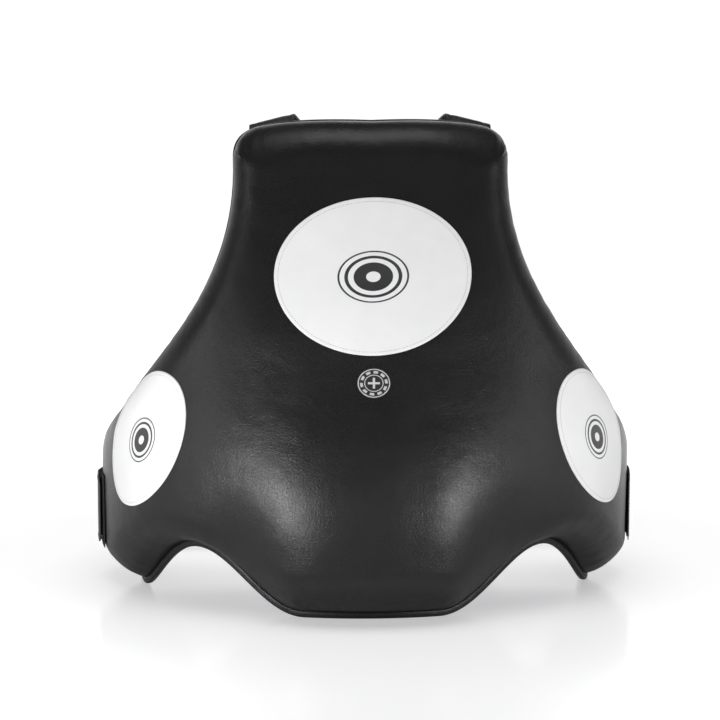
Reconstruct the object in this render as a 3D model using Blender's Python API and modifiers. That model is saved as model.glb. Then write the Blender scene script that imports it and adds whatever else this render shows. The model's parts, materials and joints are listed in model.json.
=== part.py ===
"""Trainer belly pad: a moulded front pad with wrap-round side wings, a crossed shoulder harness
and a waist belt that closes with hook and loop.

Metres, +Z up. The front faces -Y, and left means -X. The pad stands on its flap and its two wings.
Every piece is laid out on the wearer's torso: "along" runs round the body from the front centre,
"z" is the height above the floor, and "out" is the distance outwards from the body side.
"""

import math

import bmesh
import bpy
import numpy as np
from mathutils import Vector
from mathutils.geometry import delaunay_2d_cdt, interpolate_bezier

# ---- Driving dimensions: the torso the pad wraps ----
FRONT_BEND = 2.7            # curvature of the torso's plan at the front centre, 1/m
SIDE_BEND = 5.5             # curvature of the plan at the sides, 1/m
SIDE_START = 0.380          # where the side curvature is reached, measured round the body
BACK_CORNER = 0.055         # radius of the plan behind each wing
BACK_TURN = math.radians(165)   # heading of the plan where the flat of the back begins
CHEST_LEAN = 0.030          # how far the chest edge leans back
BELLY_PUSH = 0.018          # how far the belly stands forward

# ---- Driving dimensions: the pad's cut ----
PAD_HEIGHT = 0.571          # chest edge above the floor
CHEST_HALF = 0.161          # half the chest panel, round the body
WING_REACH = 0.420          # front centre to a wing's rear edge, round the body
WING_SHOULDER = 0.238       # height of the wing's upper edge, before its rear corner
WING_CORNER = 0.095         # length of the wing's rounded upper corner
WING_REAR_TOP = 0.150       # top of the straight part of the rear edge
WING_REAR_FOOT = 0.055      # bottom of the straight part of the rear edge
FLAP_HALF = 0.078           # half the straight lower edge of the belly flap
ARCH_HEIGHT = 0.072         # height of the hip arch between flap and wing
FOOT_START = WING_REACH - 0.077      # where the wing's foot begins, round the body
FOOT_LENGTH = 0.018         # straight length of the wing's foot

# ---- Driving dimensions: the pad's layers ----
CHEST_THICKNESS = 0.050     # body side to leather, at the chest and wings
BELLY_EXTRA = 0.013         # added at the belly
EDGE_RADIUS = 0.042         # how far in from the flange the pad takes to reach full thickness
EDGE_POWER = 2.2            # fullness of the rounded edge
FLANGE = 0.008              # width of the sewn flange outside the padding
LINING_T = 0.0014
COVER_T = 0.0018
INNER_FOAM_T = 0.020
PATCH_T = 0.0012
BINDING_T = 0.0011
SEWN_GAP = 0.0005           # between sewn layers
SOFT_GAP = 0.0010           # between foam and what it touches

# ---- Driving dimensions: patches ----
CENTRE_PATCH = (0.098, 0.087)      # half width and half height
CENTRE_PATCH_Z = 0.402
CENTRE_PATCH_TURN = math.radians(4)
SIDE_PATCH = (0.048, 0.090)
SIDE_PATCH_ALONG = WING_REACH - 0.169
SIDE_PATCH_Z = 0.200
SIDE_PATCH_TURN = math.radians(26)     # the top leans towards the front

# ---- Driving dimensions: harness ----
STRAP_WIDTH = 0.052
STRAP_X = 0.112             # from the centre line to a strap where it is sewn on
STRAP_COVER_T = 0.0014
STRAP_FOAM_T = 0.0036
STRAP_HEM = 0.003           # foam stops this far inside the strap's edges
STRAP_SLOPE = math.radians(14)     # slope of the pad's upper corners, which the straps follow
STRAP_DROP = 0.0045         # middle of a strap below the fold line, so that its inner edge stays low
ANCHOR_LENGTH = 0.042       # sewn length of a strap on the lining
ANCHOR_T = 0.0022
HINGE_RISE = 0.004          # fold line above the chest edge
HINGE_BACK = 0.011          # fold line behind the lining
HINGE_CLEAR = 0.008         # moving leather starts this far from a fold line
CROSS_Z = 0.375             # height where the straps cross behind the back
CROSS_OUT = 0.012           # middle of the crossing, outside the torso
KEEPER = 0.056              # side of the square keepers sewn over the crossing
KEEPER_T = 0.0016
TAIL_WIDTH = 0.044
TAIL_T = 0.0024
TAB_REACH = 0.115           # wing tab beyond the wing's rear edge, round the body
TAB_Z = 0.168               # height of a wing tab where it leaves the wing
TAB_SEWN = 0.034            # sewn length of a wing tab on the lining
TAB_T = 0.0020
TAB_RISE = 0.022            # length over which a wing tab steps out behind the wing
TOUCH_T = 0.0014            # thickness of hook and loop tape
TOUCH_EDGE = 0.004          # tape stops this far inside the leather it is sewn to

# ---- Driving dimensions: waist belt ----
BELT_WIDTH = 0.085
BELT_Z = 0.090
BELT_START = WING_REACH - 0.070      # front end of the anchor on the right wing, round the body
BELT_FOLD = WING_REACH - 0.014       # where the belt swings, beside the wing's rear edge
BELT_T = 0.0022
BELT_TURN = WING_REACH - 0.040       # where the belt leaves a wing's face, round the body
BELT_SWEEP = 0.180          # length over which it comes in to the back
BELT_BACK_OUT = 0.012       # belt outside the torso across the back
ELASTIC_LENGTH = 0.150
ELASTIC_T = 0.0020
ELASTIC_WIDTH = 0.078
BELT_PAD_T = 0.0050
TAB_FOLD = WING_REACH - 0.012        # where the belt's tab peels, beside the left wing's rear edge
TAB_TIP = WING_REACH - 0.070         # the tab's front end on the left wing
LOOP_PANEL_FRONT = WING_REACH - 0.076    # the loop panel's front end on the left wing

TAB_LIFT = 2 * (TOUCH_T + SEWN_GAP)     # hook and loop tape under the belt's tab

# ---- How finely the curved solids are cut ----
RIBBON_STEP = 0.012         # stations of tabs and tails, at shared lengths round the body
BELT_STEP = 0.024           # stations of the belt across the back
EDGE_STATIONS = 41          # points round half the outline
BEND_WEIGHT = 0.035         # a corner counts as this much edge per radian of turn
MESH_STEP = 0.040           # spacing of the points between the edges
EDGE_RINGS = (0.0078, 0.0105, 0.0165, 0.0280)   # insets of the rings that follow the outline
FOAM_RING = 0.0165          # inset of the ring where the foams begin


# ---- The torso ----

def smooth(t):
    """0 to 1 with soft ends."""
    t = np.clip(t, 0.0, 1.0)
    return t * t * (3 - 2 * t)


def torso_plan():
    """Length, x, y and heading along the torso's plan, from the front centre to the back centre."""
    step = 0.0005
    length = np.arange(0.0, WING_REACH + step, step)
    bend = FRONT_BEND + (SIDE_BEND - FRONT_BEND) * smooth(length / SIDE_START)
    heading = np.concatenate([[0.0], np.cumsum((bend[1:] + bend[:-1]) / 2 * step)])
    middle = (heading[1:] + heading[:-1]) / 2
    x = np.concatenate([[0.0], np.cumsum(np.cos(middle) * step)])
    y = np.concatenate([[0.0], np.cumsum(np.sin(middle) * step)])
    corner = np.linspace(heading[-1], BACK_TURN, 60)[1:]
    x_corner = x[-1] + BACK_CORNER * (np.sin(corner) - np.sin(heading[-1]))
    y_corner = y[-1] + BACK_CORNER * (np.cos(heading[-1]) - np.cos(corner))
    length_corner = length[-1] + BACK_CORNER * (corner - heading[-1])
    back_radius = x_corner[-1] / math.sin(math.pi - BACK_TURN)
    back = np.linspace(BACK_TURN, math.pi, 60)[1:]
    x_back = x_corner[-1] + back_radius * (np.sin(back) - math.sin(BACK_TURN))
    y_back = y_corner[-1] + back_radius * (math.cos(BACK_TURN) - np.cos(back))
    length_back = length_corner[-1] + back_radius * (back - BACK_TURN)
    return (np.concatenate([length, length_corner, length_back]),
            np.concatenate([x, x_corner, x_back]),
            np.concatenate([y, y_corner, y_back]),
            np.concatenate([heading, corner, back]))


PLAN_LENGTH, PLAN_X, PLAN_Y, PLAN_HEADING = torso_plan()
ROUND = PLAN_LENGTH[-1]     # front centre to back centre, round the body


def lean(z):
    """How far back the front stands at this height."""
    share = z / PAD_HEIGHT
    belly = np.exp(-(((share - 0.28) / 0.25) ** 2))
    return CHEST_LEAN * smooth((share - 0.55) / 0.45) - BELLY_PUSH * belly


def pad_thickness(along, z):
    """Full thickness of the padding, body side to leather."""
    bulge = np.exp(-(((z - 0.12) / 0.13) ** 2)) * np.exp(-((along / 0.16) ** 2))
    return CHEST_THICKNESS + BELLY_EXTRA * bulge


def middle_depth():
    """Half way between the belly's front and the belt's back, before the frame is centred."""
    heights = np.linspace(0.0, PAD_HEIGHT, 200)
    front = (lean(heights) - pad_thickness(0.0, heights)).min()
    back = PLAN_Y[-1] + BELT_BACK_OUT + BELT_PAD_T + 2 * (SEWN_GAP + BELT_T)
    return (front + back) / 2


DEPTH_SHIFT = -middle_depth()


def side_of(along):
    """Folds a length that runs on past the back centre onto the other side: (sign, length)."""
    along = np.asarray(along, float)
    wrapped = np.where(np.abs(along) > ROUND, np.sign(along) * 2 * ROUND - along, np.abs(along))
    sign = np.where(np.abs(along) > ROUND, -np.sign(along), np.where(along < 0, -1.0, 1.0))
    return sign, np.abs(wrapped)


def torso_point(along, z, out):
    """The point at this length round the body, height, and distance outside the body side."""
    sign, length = side_of(along)
    x = np.interp(length, PLAN_LENGTH, PLAN_X)
    y = np.interp(length, PLAN_LENGTH, PLAN_Y)
    heading = np.interp(length, PLAN_LENGTH, PLAN_HEADING)
    facing_front = np.maximum(np.cos(heading), 0.0)
    return np.stack([sign * (x + out * np.sin(heading)),
                     y - out * np.cos(heading) + lean(np.asarray(z)) * facing_front + DEPTH_SHIFT,
                     z + 0.0 * x], axis=-1)


def torso_out(along):
    """The outward direction at this length round the body."""
    sign, length = side_of(along)
    heading = np.interp(length, PLAN_LENGTH, PLAN_HEADING)
    return np.stack([sign * np.sin(heading), -np.cos(heading), 0.0 * heading], axis=-1)


# ---- The pad's cut ----

def curve_through(knots):
    """Points along Bezier spans, each given as (knot, handle, handle, knot)."""
    points = []
    for start, leave, arrive, end in knots:
        span = interpolate_bezier(Vector((*start, 0)), Vector((*leave, 0)), Vector((*arrive, 0)),
                                  Vector((*end, 0)), 24)
        points += [(p.x, p.y) for p in span[bool(points):]]
    return np.array(points)


def upper_edge():
    """From the centre of the chest edge, down the armhole, to the top of the rear edge."""
    corner = (CHEST_HALF, PAD_HEIGHT - 0.046)
    shoulder = (WING_REACH - WING_CORNER, WING_SHOULDER)
    return curve_through((
        ((0.0, PAD_HEIGHT), (0.05, PAD_HEIGHT + 0.002), (0.09, PAD_HEIGHT), (0.120, PAD_HEIGHT - 0.006)),
        ((0.120, PAD_HEIGHT - 0.006), (0.143, PAD_HEIGHT - 0.011), (CHEST_HALF + 0.001, PAD_HEIGHT - 0.020),
         corner),
        (corner, (CHEST_HALF - 0.004, PAD_HEIGHT - 0.155), (shoulder[0] - 0.110, shoulder[1] + 0.098),
         shoulder),
        (shoulder, (shoulder[0] + 0.045, shoulder[1] - 0.030), (WING_REACH, WING_REAR_TOP + 0.045),
         (WING_REACH, WING_REAR_TOP)),
    ))


def lower_edge():
    """From the centre of the flap, over the hip arch and the wing's foot, to the rear edge."""
    flap = [(0.0, 0.0), (FLAP_HALF / 2, 0.0)]
    share = np.linspace(0.0, 1.0, 60)
    arch_along = FLAP_HALF + (FOOT_START - FLAP_HALF) * share
    arch = np.stack([arch_along, ARCH_HEIGHT * np.sin(math.pi * share) ** 2], axis=1)
    foot = FOOT_START + FOOT_LENGTH
    heel = curve_through((
        ((foot, 0.0), (foot + 0.036, 0.0), (WING_REACH, 0.018), (WING_REACH, WING_REAR_FOOT)),
    ))
    return np.vstack([flap, arch, heel])


def lengths_along(points):
    return np.concatenate([[0.0], np.cumsum(np.linalg.norm(np.diff(points, axis=0), axis=1))])


def half_outline():
    """The right half of the outline, from the centre of the chest edge to the centre of the flap."""
    points = np.vstack([upper_edge(), lower_edge()[::-1]])
    length = lengths_along(points)
    even = np.linspace(0.0, length[-1], 900)
    return np.stack([np.interp(even, length, column) for column in points.T], axis=1)


def edge_stations(outline):
    """(points, inward normals) round half the outline, closer together where it turns."""
    step = np.gradient(outline, axis=0)
    heading = np.unwrap(np.arctan2(step[:, 1], step[:, 0]))
    turned = np.concatenate([[0.0], np.cumsum(np.abs(np.diff(heading)))])
    measure = lengths_along(outline) + BEND_WEIGHT * turned
    stations = np.linspace(0.0, measure[-1], EDGE_STATIONS)
    points = np.stack([np.interp(stations, measure, column) for column in outline.T], axis=1)
    heading = np.interp(stations, measure, heading)
    return points, np.stack([np.sin(heading), -np.cos(heading)], axis=1)


OUTLINE = half_outline()
STATIONS, INWARD = edge_stations(OUTLINE)


def ring(inset):
    """The outline moved inwards, as the points of its right half; both ends are on the centre line."""
    points = STATIONS + inset * INWARD
    points[[0, -1], 0] = 0.0
    return points


def edge_distance(along, z):
    """Distance from a point of the cut to the pad's outline."""
    point = np.stack([np.abs(along), z], axis=-1)[..., None, :]
    start, step = OUTLINE[:-1], np.diff(OUTLINE, axis=0)
    square = np.maximum((step ** 2).sum(axis=1), 1e-12)
    share = np.clip(((point - start) * step).sum(axis=-1) / square, 0.0, 1.0)
    return np.linalg.norm(point - start - share[..., None] * step, axis=-1).min(axis=-1)


# ---- The pad's layers ----

LINING_TOP = LINING_T
COVER_FOOT = LINING_TOP + SEWN_GAP
FLANGE_TOP = COVER_FOOT + COVER_T
FOAM_FOOT = LINING_TOP + SOFT_GAP
FOAM_SPLIT = FOAM_FOOT + INNER_FOAM_T
HEM_INSET = BINDING_T + SEWN_GAP


def rounded(distance, height, radius):
    """The pad's rounded edge: 0 at the flange, the full height from one radius in."""
    share = np.clip(distance / radius, 0.0, 1.0)
    return height * (1 - (1 - share) ** EDGE_POWER) ** (1 / EDGE_POWER)


def skin(along, z, inside=0.0, foot=FLANGE_TOP):
    """Height of the pad's rounded surface, moved inwards by a thickness."""
    distance = edge_distance(along, z) - FLANGE - inside
    return foot + rounded(distance, pad_thickness(along, z) - inside - foot, EDGE_RADIUS - inside)


def cover_out(along, z):
    return skin(along, z)


def cover_in(along, z):
    return skin(along, z, COVER_T, COVER_FOOT)


def foam_out(along, z):
    return skin(along, z, COVER_T + SOFT_GAP, 0.0)


# ---- Building solids ----

def clear_scene():
    for old in list(bpy.data.objects):
        bpy.data.objects.remove(old)


def finish(name, colour, roughness, metallic=0.0):
    """A Principled material."""
    material = bpy.data.materials.new(name)
    material.use_nodes = True
    shader = material.node_tree.nodes["Principled BSDF"]
    shader.inputs["Base Color"].default_value = (*colour, 1.0)
    shader.inputs["Roughness"].default_value = roughness
    shader.inputs["Metallic"].default_value = metallic
    material.diffuse_color = (*colour, 1.0)
    return material


def new_piece(name, bm, material):
    """An object in the part's collection, shaded smooth except across its edges."""
    mesh = bpy.data.meshes.new(name)
    bm.to_mesh(mesh)
    bm.free()
    mesh.materials.append(material)
    mesh.shade_smooth()
    mesh.set_sharp_from_angle(angle=math.radians(40))
    piece = bpy.data.objects.new(name, mesh)
    bpy.data.collections["trainer_belly_pad"].objects.link(piece)
    return piece


def slab(name, columns, rows, body_side, outer_side, material):
    """A solid grown from a grid. body_side and outer_side hold its corners, (columns+1, rows+1, 3)."""
    bm = bmesh.new()
    bmesh.ops.create_grid(bm, x_segments=columns, y_segments=rows, size=0.5)
    column_at, row_at = bm.verts.layers.int.new("column"), bm.verts.layers.int.new("row")
    for vert in bm.verts:
        vert[column_at] = round((vert.co.x + 0.5) * columns)
        vert[row_at] = round((vert.co.y + 0.5) * rows)
    grown = bmesh.ops.extrude_face_region(bm, geom=bm.faces[:], use_keep_orig=True)["geom"]
    outer = {part for part in grown if isinstance(part, bmesh.types.BMVert)}
    for vert in bm.verts:
        corners = outer_side if vert in outer else body_side
        vert.co = corners[vert[column_at]][vert[row_at]]
    bmesh.ops.triangulate(bm, faces=bm.faces, quad_method="LONG_EDGE")
    bmesh.ops.recalc_face_normals(bm, faces=bm.faces)
    if bm.calc_volume(signed=True) < 0:
        bmesh.ops.reverse_faces(bm, faces=bm.faces)
    return new_piece(name, bm, material)


def half_mesh(rings):
    """(points, triangles) of the cut's right half inside the first ring, with the other rings in it."""
    loops = [ring(inset) for inset in rings]
    low, high = loops[-1][-1, 1], loops[-1][0, 1]
    rows = np.arange(MESH_STEP * 0.8, PAD_HEIGHT, MESH_STEP * 0.87)
    inner = [(along + (row % 2) * MESH_STEP / 2, z) for row, z in enumerate(rows)
             for along in np.arange(0.0, WING_REACH, MESH_STEP)]
    inner = np.array([(along, z) for along, z in inner
                      if edge_distance(along, z) > EDGE_RINGS[-1] + MESH_STEP * 0.4 and low < z < high])
    inner = inner[in_outline(inner)]
    middle = [(0.0, z) for z in rows[1::2] if low + MESH_STEP * 0.3 < z < high - MESH_STEP * 0.3]
    spine = [loop[-1] for loop in loops] + middle + [loop[0] for loop in loops[::-1]]
    points = np.vstack(loops + [inner, middle])
    edges, start = [], 0
    for loop in loops:
        edges += [(start + i, start + i + 1) for i in range(len(loop) - 1)]
        start += len(loop)
    index = {tuple(np.round(point, 7)): i for i, point in enumerate(points)}
    spine = [index[tuple(np.round(point, 7))] for point in spine]
    edges += list(zip(spine, spine[1:]))
    flat = [Vector(point) for point in points]
    found, _, faces, _, _, _ = delaunay_2d_cdt(flat, edges, [], 1, 1e-7)
    return np.array([tuple(point) for point in found]), faces


def in_outline(points):
    """Which points lie inside the right half of the cut."""
    start, end = OUTLINE, np.roll(OUTLINE, -1, axis=0)
    z = points[:, 1][:, None]
    crosses = (start[:, 1] > z) != (end[:, 1] > z)
    rise = np.where(end[:, 1] == start[:, 1], 1.0, end[:, 1] - start[:, 1])
    reach = start[:, 0] + (z - start[:, 1]) / rise * (end[:, 0] - start[:, 0])
    inside = (crosses & (points[:, 0][:, None] < reach)).sum(axis=1) % 2 == 1
    return inside & (points[:, 0] > MESH_STEP / 4)


def open_half(name, bm, material):
    """Takes the half's faces on the centre plane away and mirrors it into the whole piece."""
    middle = [face for face in bm.faces if all(abs(vert.co.x) < 1e-7 for vert in face.verts)]
    bmesh.ops.delete(bm, geom=middle, context="FACES_ONLY")
    bmesh.ops.recalc_face_normals(bm, faces=bm.faces)
    front = min(bm.faces, key=lambda face: face.calc_center_median().y)
    if front.normal.y > 0:
        bmesh.ops.reverse_faces(bm, faces=bm.faces)
    piece = new_piece(name, bm, material)
    mirror = piece.modifiers.new("other_half", "MIRROR")
    mirror.merge_threshold = 0.0001
    return piece


def pad_layer(name, rings, inner, outer, material):
    """One layer of the pad between two heights, which are functions of along and z."""
    points, faces = half_mesh(rings)
    along, z = points.T
    body_side = torso_point(along, z, inner(along, z))
    outer_side = torso_point(along, z, outer(along, z))
    bm = bmesh.new()
    index = bm.verts.layers.int.new("index")
    for i, corner in enumerate(body_side):
        bm.verts.new(corner)[index] = i
    bm.verts.ensure_lookup_table()
    for face in faces:
        bm.faces.new([bm.verts[i] for i in face])
    grown = bmesh.ops.extrude_face_region(bm, geom=bm.faces[:], use_keep_orig=True)["geom"]
    for vert in grown:
        if isinstance(vert, bmesh.types.BMVert):
            vert.co = outer_side[vert[index]]
    return open_half(name, bm, material)


def level(height):
    """A layer's face at one height."""
    return lambda along, z: height + 0.0 * along


def edge_binding(material):
    """A folded tape round the whole flange, as a U-shaped section carried round the outline."""
    under, over = -SEWN_GAP, FLANGE_TOP + SEWN_GAP
    reach = FLANGE - SEWN_GAP
    section = ((reach, under), (BINDING_T, under), (BINDING_T, over), (reach, over),
               (reach, over + BINDING_T), (0.0, over + BINDING_T), (0.0, under - BINDING_T),
               (reach, under - BINDING_T))
    rails = np.stack([torso_point(*ring(inset).T, out) for inset, out in section], axis=1)
    bm = bmesh.new()
    corners = [[bm.verts.new(corner) for corner in station] for station in rails]
    for here, there in zip(corners, corners[1:]):
        for i in range(len(section)):
            j = (i + 1) % len(section)
            bm.faces.new((here[i], here[j], there[j], there[i]))
    return open_half("edge_binding", bm, material)


def oval_patch(name, along, z, half_width, half_height, turn, material):
    """An oval of leather lying on the cover."""
    cells = 8
    across = np.linspace(-1.0, 1.0, cells + 1)
    u, v = np.meshgrid(across, across, indexing="ij")
    round_u, round_v = u * np.sqrt(1 - v ** 2 / 2), v * np.sqrt(1 - u ** 2 / 2)
    du, dv = half_width * round_u, half_height * round_v
    at_along = along + du * math.cos(turn) - dv * math.sin(turn)
    at_z = z + du * math.sin(turn) + dv * math.cos(turn)
    base = cover_out(at_along, at_z) + SOFT_GAP
    return slab(name, cells, cells, torso_point(at_along, at_z, base),
                torso_point(at_along, at_z, base + PATCH_T), material)


# ---- Ribbons: straps, tabs and the belt ----

def ribbon(name, centre, normal, half_width, sections, material):
    """A band along centre points. Its sections stand on the points, along the normals."""
    forward = np.gradient(centre, axis=0)
    forward /= np.linalg.norm(forward, axis=1)[:, None]
    normal = normal - (normal * forward).sum(axis=1)[:, None] * forward
    normal /= np.linalg.norm(normal, axis=1)[:, None]
    across = np.cross(forward, normal)
    sides = [np.stack([centre + across * half_width * share + normal * up for share, up in section], axis=1)
             for section in sections]
    slab(name, len(centre) - 1, len(sections[0]) - 1, *sides, material)


def stations_between(start, end, step):
    """Shared lengths round the body between two ends, and the ends themselves."""
    low, high = min(start, end), max(start, end)
    grid = step * np.arange(math.ceil(low / step), math.ceil(high / step))
    inner = grid[(grid > low + step / 3) & (grid < high - step / 3)]
    every = np.concatenate([[low], inner, [high]])
    return every if end > start else every[::-1]


def flat(under, over):
    """Sections of a plain band, as (share of the half width, height) corners: under and over."""
    return [[(share, height) for share in (-1.0, 0.0, 1.0)] for height in (under, over)]


def channel(half_width, wall, top, lip):
    """Sections of a band whose edges are turned down to the lip."""
    inside = 1 - wall / half_width
    return [[(-wide, lip), (-wide, high), (0.0, high), (wide, high), (wide, lip)]
            for wide, high in ((inside, top - wall), (1.0, top))]


def torso_ribbon(name, route, height, half_width, sections, material):
    """A band laid on the torso along (along, z) stations. Its sections stand on the height given."""
    route = np.stack(route, axis=1)
    along, z = route.T
    forward = route[-1] - route[0]
    across = np.array([-forward[1], forward[0]]) / np.linalg.norm(forward)
    sides = []
    for section in sections:
        columns = []
        for share, up in section:
            offset = share * np.broadcast_to(half_width, len(along))
            columns.append(torso_point(along + offset * across[0], z + offset * across[1], height + up))
        sides.append(np.stack(columns, axis=1))
    slab(name, len(along) - 1, len(sections[0]) - 1, *sides, material)


def through(controls, count):
    """count points and normals on a smooth curve through (point, normal) controls, evenly spaced."""
    points = np.array([c[0] for c in controls], float)
    normals = np.array([c[1] for c in controls], float)
    both = np.hstack([points, normals])
    ends = np.vstack([2 * both[0] - both[1], both, 2 * both[-1] - both[-2]])
    fine = []
    for a, b, c, d in zip(ends, ends[1:], ends[2:], ends[3:]):
        t = np.linspace(0.0, 1.0, 24, endpoint=False)[:, None]
        fine.append(0.5 * (2 * b + (c - a) * t + (2 * a - 5 * b + 4 * c - d) * t ** 2
                           + (3 * b - a - 3 * c + d) * t ** 3))
    fine = np.vstack(fine + [both[-1:]])
    length = lengths_along(fine[:, :3])
    even = np.linspace(0.0, length[-1], count)
    fine = np.stack([np.interp(even, length, column) for column in fine.T], axis=1)
    return fine[:, :3], fine[:, 3:]


# ---- Harness ----

def chest_back(x):
    """The point on the lining at the chest edge, this far from the centre line."""
    along = np.interp(abs(x), PLAN_X[:400], PLAN_LENGTH[:400])
    return torso_point(math.copysign(along, x), PAD_HEIGHT, 0.0)


def fold_line():
    """(y, z) of the harness's fold, level across both straps."""
    back = chest_back(STRAP_X)
    return back[1] + HINGE_BACK, PAD_HEIGHT + HINGE_RISE


def tab_route(side, start, end):
    """(along, z) stations on a wing tab's line, which climbs round the body to the crossing."""
    along = stations_between(start, end, RIBBON_STEP)
    return side * along, tab_height(along)


def tab_height(along):
    climb = (CROSS_Z - TAB_Z) / (ROUND - WING_REACH)
    return TAB_Z + climb * (along - WING_REACH)


TAIL_START = ROUND - 0.088      # where a strap's padding ends and its tail begins, round the body
TAIL_END = WING_REACH + 0.028   # a tail's free end
TAIL_OUT = 0.0085               # a tail's middle, outside the torso
TAIL_ROUND = 0.014              # length of a tail's rounded tip
LINING_CLEAR = SEWN_GAP + BINDING_T + 2 * SOFT_GAP     # outside face of what is sewn on the lining
STRAP_PILE = STRAP_FOAM_T + 2 * (STRAP_COVER_T + SEWN_GAP)


def strap_route(side):
    """Controls (point, normal) of the strap that starts at this side and crosses to the other."""
    y_fold, z_fold = fold_line()
    stack = side * -(STRAP_PILE / 2 + SEWN_GAP + SOFT_GAP / 2)     # the left strap passes outside
    crossing = torso_point(ROUND, CROSS_Z, CROSS_OUT + stack)
    start = np.array([side * STRAP_X, y_fold, z_fold - STRAP_DROP])
    lean_out = side * math.sin(STRAP_SLOPE)
    leave = np.array([side * STRAP_X * 0.93, y_fold + 0.030, z_fold - 0.012 - STRAP_DROP])
    controls = [(start + 0.25 * (leave - start), (lean_out, 0.35, 0.94)),
                (leave, (lean_out, 0.40, 0.90)),
                ((side * STRAP_X * 0.66, y_fold + (crossing[1] - y_fold) * 0.58, z_fold - 0.062),
                 (lean_out * 0.5, 0.60, 0.80)),
                ((side * STRAP_X * 0.40, crossing[1] - 0.014, CROSS_Z + 0.075), (0.0, 0.86, 0.51)),
                ((side * STRAP_X * 0.22, crossing[1] - 0.0008, CROSS_Z + 0.040), (0.0, 1.0, 0.0)),
                (crossing, (0.0, 1.0, 0.0))]
    for at, out in ((ROUND - 0.045, CROSS_OUT + stack), (TAIL_START, TAIL_OUT)):
        controls.append((torso_point(-side * at, tab_height(at), out), torso_out(-side * at)))
    return controls


def trimmed(centre, normal, start_clear):
    """The route without its first stretch, so that a moving piece stays clear of its fold."""
    length = lengths_along(centre)
    keep = np.linspace(start_clear, length[-1], len(centre))
    cut = [np.stack([np.interp(keep, length, column) for column in part.T], axis=1)
           for part in (centre, normal)]
    return cut[0], cut[1]


def shoulder_strap(side, word, leather, foam, nylon):
    """A strap's turned-edge leather, its foam and its lining, from the fold to the start of its tail."""
    route = trimmed(*through(strap_route(side), 27), HINGE_CLEAR)
    half = STRAP_WIDTH / 2
    top, bottom = STRAP_PILE / 2, -STRAP_PILE / 2
    lining_top = bottom + STRAP_COVER_T
    ribbon(word + "_strap_cover", *route, half,
           channel(half, STRAP_COVER_T, top, lining_top + SOFT_GAP), leather)
    ribbon(word + "_strap_foam", *route, half - STRAP_HEM,
           flat(lining_top + SOFT_GAP, top - STRAP_COVER_T - SOFT_GAP), foam)
    ribbon(word + "_strap_lining", *route, half, flat(bottom, lining_top), nylon)


def strap_tail(side, word, leather, tape):
    """The flat tail that follows a strap, and the hook tape under its end."""
    along, z = tab_route(-side, TAIL_START - 0.003, TAIL_END)
    to_tip = np.abs(np.abs(along) - TAIL_END) + 0.003
    rounding = np.sqrt(1 - np.clip(1 - to_tip / TAIL_ROUND, 0.0, 1.0) ** 2)
    torso_ribbon(word + "_tail", (along, z), TAIL_OUT, TAIL_WIDTH / 2 * rounding,
                 flat(-TAIL_T / 2, TAIL_T / 2), leather)
    grip = tab_route(-side, WING_REACH + TAB_REACH - TOUCH_EDGE, TAIL_END + TAIL_ROUND + TOUCH_EDGE)
    under = -TAIL_T / 2 - SOFT_GAP
    torso_ribbon(word + "_tail_hook", grip, TAIL_OUT, TAIL_WIDTH / 2 - TOUCH_EDGE,
                 flat(under - TOUCH_T, under), tape)


def wing_tab(side, word, leather, tape):
    """The leather tab sewn inside a wing's rear edge, and the loop tape on its outer face."""
    loop_top = TAIL_OUT - TAIL_T / 2 - 2 * SOFT_GAP - TOUCH_T
    tab_top = loop_top - TOUCH_T - SOFT_GAP
    along, z = tab_route(side, WING_REACH - TAB_SEWN, WING_REACH + TAB_REACH)
    rise = smooth((np.abs(along) - WING_REACH - 0.010) / TAB_RISE)
    torso_ribbon(word + "_wing_tab", (along, z), -LINING_CLEAR + (tab_top + LINING_CLEAR) * rise,
                 TAIL_WIDTH / 2 + 0.002, flat(-TAB_T, 0.0), leather)
    catch = tab_route(side, WING_REACH + 0.048, WING_REACH + TAB_REACH - TOUCH_EDGE)
    torso_ribbon(word + "_tab_loop", catch, loop_top, TAIL_WIDTH / 2 - TOUCH_EDGE + 0.001,
                 flat(-TOUCH_T, 0.0), tape)


def strap_anchor(side, word, leather):
    """The strap's sewn end: flat on the lining, then up towards the fold."""
    middle = np.interp(STRAP_X, PLAN_X[:400], PLAN_LENGTH[:400])
    across = np.linspace(-STRAP_WIDTH / 2, STRAP_WIDTH / 2, 5)
    edge_z = np.interp(middle + side * across, *upper_edge()[:60].T)
    drops = (ANCHOR_LENGTH, 0.028, 0.014, 0.002)
    faces = []
    for out in (-LINING_CLEAR - ANCHOR_T, -LINING_CLEAR):
        rows = [torso_point(side * middle + across, edge_z - drop, out) for drop in drops]
        last = rows[-1] + (0.0, 0.0015 if out < -LINING_CLEAR else 0.0025, HINGE_RISE)
        faces.append(np.stack(rows + [last], axis=1))
    slab(word + "_strap_anchor", 4, len(drops), *faces, leather)


def cross_keepers(leather):
    """The two square pieces sewn over and under the crossing."""
    outside = STRAP_PILE + SEWN_GAP + SOFT_GAP * 1.5
    middle = torso_point(ROUND, CROSS_Z, CROSS_OUT)
    centre = middle + np.linspace(-KEEPER / 2, KEEPER / 2, 4)[:, None] * (1.0, 0.0, 0.0)
    normal = np.array([(0.0, 1.0, 0.0)] * 4)
    ribbon("keeper_outer", centre, normal, KEEPER / 2, flat(outside, outside + KEEPER_T), leather)
    ribbon("keeper_inner", centre, normal, KEEPER / 2, flat(-outside - KEEPER_T, -outside), leather)


# ---- Waist belt ----

def wing_face(along):
    """The height that clears a wing's cover, and comes in from its rear edge to the back."""
    _, length = side_of(along)
    come_in = 1 - (1 - np.clip((length - BELT_TURN) / BELT_SWEEP, 0.0, 1.0)) ** 1.5
    on_wing = CHEST_THICKNESS + SOFT_GAP
    return on_wing + (BELT_BACK_OUT - on_wing) * come_in


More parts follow.
